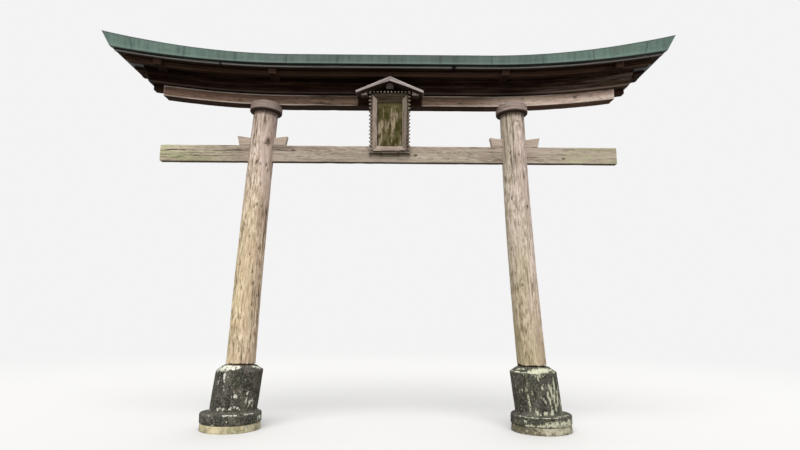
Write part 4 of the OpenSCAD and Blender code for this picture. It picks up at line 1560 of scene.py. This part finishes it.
@dataclass
class Beam:
    """A long timber, straight or rising towards both ends.

    Attributes:
        name: Name of the piece.
        nodes: The frame nodes that it stands for.
        low: Lowest corner at the centre line.
        high: Highest corner at the centre line.
        finish: Its finish.
        curve: The upward curve that it follows, if any.
        slant: Outward over upward slope of its ends.
        pitch: Size of the grid's cells.
        edge: Rounding of its edges.
        ripple: Depth of its ripples.
        chip: Depth of its chips.
        joints: Distances from the centre line at which two lengths of board meet.
        outer: Where its one lit face looks; its other faces are painted dark as shade. None: all are alike.
        seed: Shifts its patterns.
    """

    name: str
    nodes: tuple[str, ...]
    low: Vector
    high: Vector
    finish: Finish
    curve: Upcurve | None = CURVE
    slant: float = 0.0
    pitch: Triple = (0.012, 0.012, 0.012)
    edge: float = 0.004
    ripple: float = 0.0008
    chip: float = 0.005
    joints: tuple[float, ...] = ()
    outer: Face | None = None
    seed: float = 0.0

    def build(self) -> None:
        """Builds the timber."""
        bm = block(self.low, self.high, self.pitch, self.edge)
        weather(bm, Grain(seed=self.seed), self.ripple, self.chip)
        check, under = layer(bm, CHECK_AND_SHADE), layer(bm, DARK_UNDER_AND_SHADE)
        half = max(abs(self.low.x), abs(self.high.x))
        for vert in bm.verts:
            # On a board with one outer face, the other faces are painted dark as shade.
            if self.outer and self.outer.value * vert.normal.y < 0.5:
                vert[under] = 1.0
            for joint in self.joints:
                gap = 1.0 - abs(vert.co.x - joint) / (0.75 * self.pitch[0])
                if gap > 0.0:
                    vert[check] = 1.0
                    vert.co -= vert.normal * 0.002 * gap
            vert.co.x = slanted(vert.co.x, half, self.slant * (vert.co.z - self.low.z))
            if self.curve:
                vert.co.z += self.curve.at(vert.co.x)
        make_piece(self.name, bm, self.finish, *self.nodes)


def beam_span(node: str, slant: float = 0.0) -> tuple[Vector, Vector]:
    """Corners of a rising beam as it is at the centre line.

    Args:
        node: The beam's frame node.
        slant: Outward over upward slope of its ends.

    Returns:
        Its lowest and highest corner before it rises and before its ends slant.
    """
    low, high = node_box(node)
    height = high.z - low.z - CURVE.at(high.x)
    half = high.x - slant * height
    return Vector((-half, low.y, low.z)), Vector((half, high.y, low.z + height))


@dataclass
class Lintels:
    """The tie beam with its wedges, the strut, and the lower and the upper lintel.

    Attributes:
        up_slant: Slope of the upper lintel's ends.
        tongue_w: Width of the tongue under the upper lintel.
        tongue_h: Height of that tongue.
        tongue_back: How far its ends stand back.
    """

    up_slant: float = 0.4
    tongue_w: float = 0.070
    tongue_h: float = 0.050
    tongue_back: float = 0.025

    def build_tie(self) -> None:
        """Builds the tie beam."""
        low, high = node_box("tie_beam")
        mid = (low.z + high.z) / 2
        found = knots((0.235, low.y, mid - 0.010, 0.010), (-0.83, low.y, mid + 0.030, 0.007),
                      (1.52, low.y, mid - 0.030, 0.008), (-1.62, high.y, mid + 0.020, 0.009),
                      (0.70, high.y, mid - 0.030, 0.010))
        finish = replace(BEAM_WOOD, name="tie_beam_timber", streak=0.040, length=0.55, fleck=0.5, flakes=0.6,
                         hues=((1.0, 0.99, 0.95), (1.03, 0.96, 0.97)), algae=0.75, algae_from=1.25,
                         algae_tone=(0.392, 0.402, 0.225), drift=(-0.9, -1.9, (1.24, 1.27, 1.18)), seed=1.0,
                         knots=found)
        Beam("tie_beam_timber", ("tie_beam",), low, high, finish, curve=None).build()

    def build_wedges(self) -> None:
        """Builds the four wedges."""
        finish = Wood("wedge_timber", "beam_wood", (0.240, 0.175, 0.128), (0.425, 0.335, 0.270),
                      (0.540, 0.455, 0.385), streak=0.030, length=0.30, cracks=0.4, seed=4.0)
        for number, side in enumerate(Side):
            for place in ("outer", "inner"):
                grain = Grain(seed=3.0 * number + len(place))
                dress_timber(f"wedge_{side.word}_{place}", finish, grain, edge=0.0025)

    def build_strut(self) -> None:
        """Builds the strut behind the tablet."""
        grain = Grain(along=(0.0, 0.0, 1.0), up=(1.0, 0.0, 0.0), seed=4.0)
        dress_timber("centre_strut", BEAM_WOOD, grain, pitch=0.014)

    def build_lower(self) -> None:
        """Builds the lower lintel."""
        low, high = beam_span("lower_lintel")
        mid = (low.z + high.z) / 2
        found = knots((-0.500, low.y, mid + 0.010, 0.013), (-0.535, low.y, mid + 0.024, 0.006),
                      (1.63, low.y, mid + 0.004, 0.009), (0.62, low.y, mid - 0.020, 0.007),
                      (-1.36, high.y, mid, 0.011), (0.35, high.y, mid + 0.015, 0.009))
        # The pale right end and the drift's darker middle and left are partly weathering, partly painted
        # light and shade; the overhang band is painted shade.
        finish = Wood("lower_lintel_timber", "lintel_wood", (0.250, 0.188, 0.148), (0.800, 0.650, 0.535),
                      (0.900, 0.790, 0.690), streak=0.024, length=0.4, cracks=0.5, fleck=0.5, flakes=0.6,
                      under=0.97, hues=((1.0, 1.0, 0.96), (1.02, 0.95, 0.97)), seed=9.0, knots=found,
                      drift=(1.38, 0.92, (0.285, 0.235, 0.204)), soot=(mid - 0.015, mid + 0.045), wear=0.75)
        Beam("lower_lintel_timber", ("lower_lintel",), low, high, finish, edge=0.005).build()

    def build_upper(self) -> None:
        """Builds the upper lintel and its tongue."""
        low, high = node_box("upper_lintel")
        bed = low.z + self.tongue_h
        height = high.z - bed - CURVE.at(high.x)
        half = high.x - self.up_slant * height
        # Painted shade and light: near-black colours for the shade under the roof, and a painted lit strip
        # along the foot that the drift fades out towards the middle.
        finish = Wood("upper_lintel_timber", "dark_wood", (0.012, 0.005, 0.002), (0.030, 0.013, 0.007),
                      (0.230, 0.175, 0.140), streak=0.050, cracks=0.4, seed=7.0,
                      bleach=(bed + 0.024, bed + 0.040), drift=(1.95, 1.20, (0.34, 0.26, 0.22)), wear=0.2)
        corners = Vector((-half, low.y, bed)), Vector((half, high.y, bed + height))
        Beam("upper_lintel_timber", ("upper_lintel",), *corners, finish, slant=self.up_slant,
             pitch=(0.014, 0.016, 0.016), edge=0.006).build()
        end, side = half - self.tongue_back, self.tongue_w / 2
        Beam("upper_lintel_tongue", (), Vector((-end, -side, low.z)), Vector((end, side, bed)), SHADE_WOOD,
             pitch=(0.02, 0.02, 0.02), edge=0.002, seed=3.0).build()

    def build(self) -> None:
        """Builds all the beams."""
        self.build_tie()
        self.build_wedges()
        self.build_strut()
        self.build_lower()
        self.build_upper()


@dataclass
class Eaves:
    """The bracket arms, purlins, soffit boards and drip boards.

    Attributes:
        slant: Outward over upward slope of the ends.
        joints: Places at which two lengths of board meet.
    """

    slant: float = 0.64
    joints: tuple[float, ...] = (-1.42, 0.55)

    def build_arms(self) -> None:
        """Builds the bracket arms."""
        for number, name in enumerate(("left_outer", "left_inner", "right_inner", "right_outer")):
            grain = Grain(along=(0.0, 1.0, 0.0), seed=2.0 * number)
            dress_timber(f"bracket_arm_{name}", EAVES_WOOD, grain)

    def build_boards(self, face: Face) -> None:
        """Builds the purlin, the soffit and the drip board of one face.

        Args:
            face: Front or back.
        """
        shift = 5.0 * face.value
        grain = Grain(seed=shift, curve=CURVE)
        dress_timber(f"eaves_purlin_{face.word}", EAVES_WOOD, grain, edge=0.0025, pitch=0.014,
                     long_pitch=0.030, depth=0.0006)
        drip_low, _ = beam_span(f"drip_board_{face.word}", self.slant)
        # Painted shade and light: dark colours for the shade under the copper edge, with a painted lit strip
        # along its foot; its inner faces are painted dark.
        drip = Wood(f"drip_board_{face.word}", "drip_board", (0.020, 0.017, 0.014), (0.030, 0.027, 0.023),
                    (0.480, 0.490, 0.475), cracks=0.1, fleck=0.05, under=0.97, seed=3.0,
                    bleach=(drip_low.z + 0.022, drip_low.z + 0.027), wear=0.0)
        for kind, finish, pitch in (("soffit", SHADE_WOOD, 0.022), ("drip_board", drip, 0.0035)):
            node = f"{kind}_{face.word}"
            low, high = beam_span(node, self.slant)
            Beam(f"{node}_timber", (node,), low, high, finish, slant=self.slant, pitch=(0.018, pitch, pitch),
                 edge=0.002, ripple=0.0004, chip=0.003, joints=self.joints, seed=shift + len(kind),
                 outer=face if kind == "drip_board" else None).build()

    def build(self) -> None:
        """Builds the arms and both faces."""
        self.build_arms()
        for face in Face:
            self.build_boards(face)


@dataclass
class CopperRoof:
    """The copper-clad edges, slopes and ridge, in separate folded sheets.

    Attributes:
        sheet: Length of one sheet.
        seam: Half the width of a folded joint.
        proud: How far a joint stands above its sheet.
        extra: How much higher the edge is at its ends.
        slant: Outward over upward slope of the ends.
        pitch: Pitch of the roof, in radians.
        hem: Height of the folded hem along the foot of the edge.
        half: Half the length of the edge's foot.
        edge_dent: Depth of the dents in the edge.
        slope_dent: Depth of the dents in the slopes.
        ridge_dent: Depth of the dents in the ridge cap.
        course: Share of a slope that its lower course of sheets covers.
    """

    sheet: float = 0.4306
    seam: float = 0.007
    proud: float = 0.0022
    extra: float = 0.042
    slant: float = 0.64
    pitch: float = math.radians(19.0)
    hem: float = 0.010
    half: float = 2.346
    edge_dent: float = 0.0016
    slope_dent: float = 0.0018
    ridge_dent: float = 0.001
    course: float = 0.52

    def growth(self, x: float) -> float:
        """How much the edge has grown in height at a distance x from the centre line."""
        return self.extra * CURVE.at(x) / CURVE.at(self.half)

    def seams(self, half: float, shift: float = 0.0) -> list[float]:
        """Places of the joints between sheets, within half a length from the centre line."""
        count = int(half / self.sheet) + 1
        return [x for k in range(-count, count + 1) if abs(x := (k + shift) * self.sheet) < half - 0.05]

    def cut_at(self, bm: BMesh, places: Iterable[float]) -> None:
        """Cuts a mesh across at both edges of each joint."""
        for cut in [place + off * self.seam for place in places for off in (-1.25, -1.0, 1.0, 1.25)]:
            slice_at(bm, 0, cut)

    def on_seam(self, x: float, places: Sequence[float]) -> float:
        """How high a joint stands at x, from 0 to 1."""
        nearest = min((abs(x - place) for place in places), default=math.inf)
        return 1.0 - smooth(nearest, 0.95 * self.seam, 1.2 * self.seam)

    def build_edge(self, face: Face) -> None:
        """Builds the clad edge of one face.

        Args:
            face: Front or back.
        """
        node = f"copper_edge_{face.word}"
        low, high = node_box(node)
        edge_h = high.z - low.z - CURVE.at(high.x) - self.growth(high.x)
        half = self.half
        bm = block(Vector((-half, low.y, 0.0)), Vector((half, high.y, edge_h)), pitch=(0.016, 0.012, 0.010))
        places = self.seams(half)
        self.cut_at(bm, places)
        mark_edges(bm)
        edge, seam, under = (layer(bm, name) for name in (EDGE, SEAM_AND_SHADE, DARK_UNDER_AND_SHADE))
        bm.normal_update()
        for vert in bm.verts:
            spot = vert.co.copy()
            # Painted shade: downward faces of the edge are marked to turn near-black.
            vert[under] = smooth(-vert.normal.z, 0.75, 0.95)
            folded = self.on_seam(spot.x, places)
            hemmed = 1.0 - smooth(spot.z, self.hem, self.hem + 0.003)
            dent = self.edge_dent * lumps(spot, (7.0, 5.0, 16.0), 2.0 + face.value)
            sunk = self.proud * (1.0 - max(folded, hemmed)) + dent * (1.0 - folded)
            outward = float(face.value * vert.normal.y > 0.3)
            place = spot - Vector((0.0, face.value * outward * sunk, 0.0))
            share = spot.z / edge_h
            rise = edge_h + self.growth(spot.x)
            place.x = slanted(place.x, half, self.slant * share * (edge_h + self.extra))
            place.z = low.z + CURVE.at(place.x) + share * rise
            # Painted shade: a dark line along the top of the edge, through the seam attribute.
            brink = smooth(share, 0.85, 0.91)
            vert[seam] = max(folded, 1.7 * brink)
            vert[edge] = max(hemmed * outward, 0.6 * vert[edge]) * (1.0 - brink)
            vert.co = place
        make_piece(f"{node}_sheets", bm, PATINA, node)

    def build_slope(self, face: Face) -> None:
        """Builds one slope of the roof: two courses of sheets with staggered joints.

        Args:
            face: Front or back.
        """
        node = f"copper_roof_{face.word}"
        low, high = node_box(node)
        edge_low, edge_high = node_box(f"copper_edge_{face.word}")
        ridge_low, _ = node_box("ridge_cap")
        half = self.half
        depth = high.y - low.y
        course = self.course * depth
        bed = low.z
        edge_top = edge_high.z - CURVE.at(edge_high.x) - self.growth(edge_high.x)
        ridge_top = ridge_low.z
        bed_half = half + self.slant * (bed - edge_low.z)
        bm = block(Vector((-half, 0.0, 0.0)), Vector((half, depth, 1.0)), pitch=(0.016, 0.014, 0.5))
        lower, upper = self.seams(half), self.seams(half, 0.5)
        self.cut_at(bm, sorted(lower + upper))
        for off in (-0.008, 0.0, 0.008):
            slice_at(bm, 1, course + off)
        seam, under = layer(bm, SEAM_AND_SHADE), layer(bm, DARK_UNDER_AND_SHADE)
        end_h = ridge_top - bed + self.extra
        for vert in bm.verts:
            spot = vert.co.copy()
            from_edge = depth - spot.y
            top = min(edge_top + from_edge * math.tan(self.pitch), ridge_top)
            folded = self.on_seam(spot.x, lower if from_edge < course else upper)
            lap = 1.0 - smooth(abs(from_edge - course), 0.006, 0.009)
            dent = self.slope_dent * lumps(spot, (6.0, 9.0, 1.0), 8.0 + face.value)
            sunk = (self.proud * (1.0 - max(folded, lap)) + dent) * smooth(spot.z, 0.6, 0.95)
            grow = self.growth(spot.x) * smooth(spot.z, 0.0, 1.0)
            out = self.slant * spot.z * end_h * (top - bed) / (ridge_top - bed)
            x = slanted(spot.x * bed_half / half, bed_half, out)
            vert[seam] = max(folded, lap)
            # Painted shade: the slope's underside is marked to turn near-black.
            vert[under] = 1.0 - smooth(spot.z, 0.0, 0.002)
            vert.co = Vector((x, face.value * spot.y, bed + CURVE.at(x) + spot.z * (top - bed) + grow - sunk))
        if face is Face.FRONT:
            bmesh.ops.reverse_faces(bm, faces=bm.faces[:])
        make_piece(f"{node}_sheets", bm, PATINA, node)

    def build_ridge(self) -> None:
        """Builds the ridge cap."""
        low, high = node_box("ridge_cap")
        end = high.x
        cap_h = high.z - low.z - CURVE.at(end) - self.growth(end)
        corners = Vector((-end, low.y, 0.0)), Vector((end, high.y, cap_h))
        bm = block(*corners, pitch=(0.016, 0.012, 0.010), edge=0.005)
        places = self.seams(end)[::2]
        self.cut_at(bm, places)
        mark_edges(bm)
        edge, seam = layer(bm, EDGE), layer(bm, SEAM_AND_SHADE)
        bm.normal_update()
        for vert in bm.verts:
            x = vert.co.x
            folded = self.on_seam(x, places)
            vert[seam] = folded
            vert[edge] = 0.5 * vert[edge]
            dent = self.ridge_dent * lumps(vert.co, (6.0, 12.0, 12.0), 15.0)
            vert.co -= vert.normal * (self.proud * (1.0 - folded) + dent)
            vert.co.z += low.z + CURVE.at(x) + self.growth(x)
        make_piece("ridge_cap_sheets", bm, PATINA, "ridge_cap")

    def build(self) -> None:
        """Builds the edges, the slopes and the ridge."""
        for face in Face:
            self.build_edge(face)
            self.build_slope(face)
        self.build_ridge()


@dataclass(frozen=True)
class BarePatch:
    """A patch of the tablet's panel where the moss has come off.

    Attributes:
        across: Its middle, to the right of the panel's middle.
        up: Its middle, above the panel's foot.
        width: Half its width.
        tall: Half its height.
        strength: How bare it is.
    """

    across: float
    up: float
    width: float
    tall: float
    strength: float = 1.0

    def at(self, across: float, up: float) -> float:
        """How bare the panel is at a point."""
        side, rise = (across - self.across) / self.width, (up - self.up) / self.tall
        return self.strength * math.exp(-(side * side + rise * rise))


BARE_PATCHES = tuple(BarePatch(*row) for row in (
    (-0.0725, 0.148, 0.022, 0.110), (0.031, 0.215, 0.032, 0.075), (-0.022, 0.180, 0.030, 0.055),
    (0.024, 0.083, 0.018, 0.065), (0.061, 0.240, 0.011, 0.090, 0.9), (-0.052, 0.280, 0.011, 0.05, 0.9),
    (-0.089, 0.040, 0.020, 0.050, 0.7), (0.038, 0.330, 0.009, 0.022, 0.7), (0.045, 0.020, 0.03, 0.01, 0.6)))


@dataclass
class Tablet:
    """The leaning framed tablet, its backboard and its ironwork.

    Attributes:
        lean: Forward lean of the tablet, in radians.
        foot: Middle of its foot, at its back.
        tall: Height of the frame along its face.
        panel_half: Half the width of the panel.
        rail_w: Width of the rails.
        rim_w: Width of the scalloped rim outside them.
        rim_front: Distance of the rim's front from the tablet's back.
        ledge_front: The same for the ledge under the top rail.
        rail_front: The same for the rails.
        splay: How much lower the rails are along the panel.
        scallop: Pitch of the scallops.
        tip: Length over which the scallops are rounded.
        apron: How far the lower edge of the bottom rim is carved up between its middle and its corners.
        web: How far the wood reaches out between the scallops, behind their faces.
        web_front: Distance of that wood's front from the tablet's back.
    """

    lean: float = math.atan2(0.150, 0.517)
    foot: Triple = (0.008, -0.0305, 2.2919)
    tall: float = math.hypot(0.150, 0.517)
    panel_half: float = 0.106
    rail_w: float = 0.041
    rim_w: float = 0.032
    rim_front: float = 0.024
    ledge_front: float = 0.031
    rail_front: float = 0.042
    splay: float = 0.010
    scallop: float = 0.031
    tip: float = 0.008
    apron: float = 0.0085
    web: float = 0.020
    web_front: float = 0.015

    def upright(self) -> Triple:
        """The direction that runs up the leaning face."""
        return (0.0, -math.sin(self.lean), math.cos(self.lean))

    def carve(self, bm: BMesh, name: str) -> None:
        """Splays a rail towards the panel, rounds its scallops and paints shade into their crevices.

        Args:
            bm: The rail.
            name: Where it is: top, bottom, left or right.
        """
        place = Matrix.Translation(self.foot) @ Matrix.Rotation(self.lean, 4, "X")
        back = place.inverted()
        check, edge = layer(bm, CHECK_AND_SHADE), layer(bm, EDGE)
        reach = self.rail_w + self.rim_w
        base = self.ledge_front if name == "top" else self.rim_front
        level = name in ("top", "bottom")
        length = 2.0 * (self.panel_half + reach) if level else self.tall
        count = round(length / self.scallop)
        for vert in bm.verts:
            spot = back @ vert.co
            depth = -spot.y
            beyond = {"top": spot.z - self.tall + reach, "bottom": reach - spot.z,
                      "left": -self.panel_half - spot.x, "right": spot.x - self.panel_half}[name]
            if beyond > -0.002 and depth > base:
                share = clamp(beyond / self.rail_w)
                depth = base + (depth - base) * (1.0 - self.splay * (1.0 - share) / (self.rail_front - base))
            along = spot.x + self.panel_half + reach if level else spot.z
            number = clamp(math.floor(along / length * count), 0, count - 1)
            middle = (number + 0.5) * length / count
            between = name in ("left", "right") and 1 < number < count - 2
            # Painted shade: the web between the scallops is darkened.
            if between and self.rail_w - 0.003 < beyond < self.rail_w + self.web and depth < self.web_front:
                spot.x += math.copysign(self.rail_w + self.web - beyond, spot.x)
                beyond = self.rail_w + self.web
                vert[check] = 0.8
            outer = beyond - reach + self.tip
            if outer > 0.0 and 0 < number < count - 1 and name != "bottom":
                off = (along - middle) * (math.sqrt(max(0.10, 1.0 - (0.95 * outer / self.tip) ** 2)) - 1.0)
                spot.x += off if level else 0.0
                spot.z += 0.0 if level else off
            # Painted shade in the crevices: beside the rail, on the scallops' walls and along the panel.
            beside = math.exp(-((beyond - self.rail_w - 0.002) / 0.004) ** 2)
            beside *= float(depth < self.rim_front + 0.004)
            walled = smooth(abs(along - middle), 0.0070, 0.0085)
            walled *= float(beyond > self.rail_w and name != "bottom")
            inner = math.exp(-(beyond / 0.003) ** 2)
            vert[check] = max(vert[check], 0.85 * beside, 0.55 * walled, 0.5 * inner)
            # The top rail's crests get the worn colour, which lights them as painted light; its other edges
            # are dimmed.
            if name == "top":
                crest = 1.0 - smooth(abs(along - middle), 0.005, 0.010)
                vert[edge] = 0.25 * vert[edge] if outer < 0.0 else crest
            if name == "bottom":
                wave = smooth(abs(spot.x), 0.050, 0.110) * smooth(abs(spot.x), reach + self.panel_half, 0.150)
                # Painted shadow: the foot of the bottom rim is darkened.
                vert[check] = max(vert[check], smooth(spot.z, 0.016, 0.011))
                spot.z += self.apron * wave * (1.0 - smooth(spot.z, 0.0, 0.022))
            vert.co = place @ Vector((spot.x, -depth, spot.z))
        bmesh.ops.dissolve_degenerate(bm, dist=1e-5, edges=bm.edges[:])

    def build_rails(self) -> None:
        """Builds the four rails with their scalloped rims."""
        finishes = {"top": FRAME_SHADE, "bottom": FRAME_WOOD, "left": FRAME_WOOD, "right": FRAME_SHADED_SIDE}
        for name, finish in finishes.items():
            node = f"tablet_rail_{name}"
            bm = solid_copy(node, edge=0.0018, pitch=0.0045)
            grain = Grain(seed=float(len(name)))
            if name in ("left", "right"):
                grain = replace(grain, along=self.upright(), up=(1.0, 0.0, 0.0))
            weather(bm, grain, depth=0.0007)
            self.carve(bm, name)
            make_piece(f"{node}_carved", bm, finish, node)

    def build_panel(self) -> None:
        """Builds the bare, mossy panel."""
        bm = solid_copy("tablet_panel", edge=0.0015, pitch=0.006)
        weather(bm, Grain(along=self.upright(), up=(1.0, 0.0, 0.0), seed=2.0), depth=0.0010, chip=0.002)
        bare, check = layer(bm, LICHEN), layer(bm, CHECK_AND_SHADE)
        back = (Matrix.Translation(self.foot) @ Matrix.Rotation(self.lean, 4, "X")).inverted()
        for vert in bm.verts:
            spot = back @ vert.co
            if abs(spot.x) > self.panel_half - 0.003:
                spot.x = math.copysign(self.panel_half + 0.002, spot.x)
                vert.co = back.inverted() @ spot
            up = spot.z - self.rail_w - self.rim_w
            vert[bare] = max(patch.at(spot.x, up) for patch in BARE_PATCHES)
            # Painted shadow along the panel's left edge.
            vert[check] = 1.0 - smooth(self.panel_half + spot.x, 0.002, 0.012)
        make_piece("tablet_panel_board", bm, MossyBoard("mossy_board", "tablet_panel"), "tablet_panel")

    def build_fixings(self) -> None:
        """Builds the backboard, the hooks and the stays."""
        dress_timber("tablet_backboard", SHADE_WOOD, Grain(seed=5.0), pitch=0.014)
        for node in ("tablet_hooks", "tablet_stays"):
            bm = solid_copy(node, edge=0.0008, pitch=0.010)
            mark_edges(bm)
            make_piece(f"{node}_forged", bm, RUST, node)

    def build(self) -> None:
        """Builds the whole tablet."""
        self.build_rails()
        self.build_panel()
        self.build_fixings()


@dataclass
class Hood:
    """The small gabled roof over the tablet.

    Attributes:
        pitch: Pitch of its boards, in radians.
    """

    pitch: float = math.radians(24.1)

    def build(self) -> None:
        """Builds the boards, bargeboards, ridge beam and purlins."""
        for side in Side:
            slope = (math.cos(self.pitch), 0.0, -side.value * math.sin(self.pitch))
            for kind, seed in (("board", 2.0), ("bargeboard", 6.0)):
                grain = Grain(along=slope, seed=seed + side.value)
                dress_timber(f"hood_{kind}_{side.word}", HOOD_WOOD, grain, edge=0.002, depth=0.0007)
        for node, finish in (("hood_ridge_beam", HOOD_WOOD), ("hood_purlins", HOOD_LIT_ENDS)):
            dress_timber(node, finish, Grain(along=(0.0, 1.0, 0.0), seed=4.0), edge=0.0025)


@dataclass
class Studio:
    """Floor, lights and camera.

    Attributes:
        lens_px: Focal length in pixels of the photograph.
        width_px: Width of the photograph.
        sensor: Width of the camera's sensor, in millimetres.
        eye: Place of the camera.
        yaw: Its turn to the left, in radians.
        tilt: Its tilt upward, in radians.
        roll: Its roll, in radians.
        fade: Distances from the gate between which the floor fades into the background.
        ground: Colour of the floor.
        bounce: Colour of the light that the floor throws back on the object.
        sky: Brightness of the world's light.
        white: Brightness of the background.
    """

    lens_px: float = 570.49
    width_px: float = 800.0
    sensor: float = 36.0
    eye: Triple = (0.08657, -4.82616, 0.90385)
    yaw: float = -0.0035
    tilt: float = 0.1592
    roll: float = 0.0066
    fade: tuple[float, float] = (3.5, 11.0)
    ground: Colour = (0.56, 0.55, 0.535)
    bounce: Colour = (0.20, 0.185, 0.165)
    sky: float = 0.85
    white: float = 0.90

    def build_camera(self) -> None:
        """Creates the camera at the photograph's viewing angle."""
        data = bpy.data.cameras.new("camera")
        data.sensor_width = self.sensor
        data.lens = self.sensor * self.lens_px / self.width_px
        turn = (Matrix.Rotation(self.yaw, 4, "Z") @ Matrix.Rotation(math.pi / 2 + self.tilt, 4, "X")
                @ Matrix.Rotation(self.roll, 4, "Z"))
        camera = add_object("camera", data)
        camera.matrix_world = Matrix.Translation(self.eye) @ turn
        bpy.context.scene.camera = camera

    def build_floor(self) -> None:
        """Creates the pale floor, which fades into the background far away."""
        graph = Graph("studio_floor")
        seen = graph.seen()
        far = graph.vector("LENGTH", "Value", {0: graph.place})
        glow = graph.make("ShaderNodeEmission", "Emission", {"Color": (self.white,) * 3})
        fade = graph.band(far, *self.fade) * seen
        graph.feed(graph.surface, graph.blend(fade, graph.shader.outputs["BSDF"], glow))
        bm = bmesh.new()
        bmesh.ops.create_grid(bm, x_segments=1, y_segments=1, size=60.0)
        mesh = bpy.data.meshes.new("studio_floor")
        bm.to_mesh(mesh)
        bm.free()
        mesh.materials.append(graph.finish(graph.mix(seen, self.bounce, self.ground), 0.9))
        add_object("studio_floor", mesh)

    def build_world(self) -> None:
        """Creates the world: even light on the object, near white to the camera."""
        world = bpy.data.worlds.new("studio")
        world.use_nodes = True
        nodes = Nodes(world.node_tree)
        light = nodes.make("ShaderNodeBackground", 0, {"Color": (0.96, 0.98, 1.0), "Strength": self.sky})
        back = nodes.make("ShaderNodeBackground", 0, {"Color": (1.0, 1.0, 1.0), "Strength": self.white})
        surface = nodes.add("ShaderNodeOutputWorld").inputs["Surface"]
        nodes.feed(surface, nodes.blend(nodes.seen(), light, back))
        bpy.context.scene.world = world

    def build_sun(self, name: str, strength: float, angle: float, turn: Triple) -> None:
        """Creates one soft sun lamp.

        Args:
            name: Name of the lamp.
            strength: Its strength.
            angle: Its apparent size, in degrees; a large one gives soft shadows.
            turn: Its rotation, in degrees.
        """
        data = bpy.data.lights.new(name, "SUN")
        data.energy = strength
        data.angle = math.radians(angle)
        add_object(name, data).rotation_euler = [math.radians(part) for part in turn]

    def build(self) -> None:
        """Creates the whole studio."""
        bpy.context.scene.view_settings.view_transform = "Standard"
        self.build_camera()
        self.build_floor()
        self.build_world()
        self.build_sun("key_light", strength=3.3, angle=50.0, turn=(38.0, 0.0, -5.0))
        self.build_sun("fill_light", strength=0.5, angle=60.0, turn=(60.0, 0.0, 165.0))


def main() -> None:
    """Builds the studio and every sub-assembly."""
    logging.basicConfig(level=logging.INFO, format="%(name)s: %(message)s")
    for kind in (Studio, Bases, Pillars, CapRings, Lintels, Eaves, CopperRoof, Tablet, Hood):
        log.info("building %s", kind.__name__)
        kind().build()


if __name__ == "__main__":
    main()
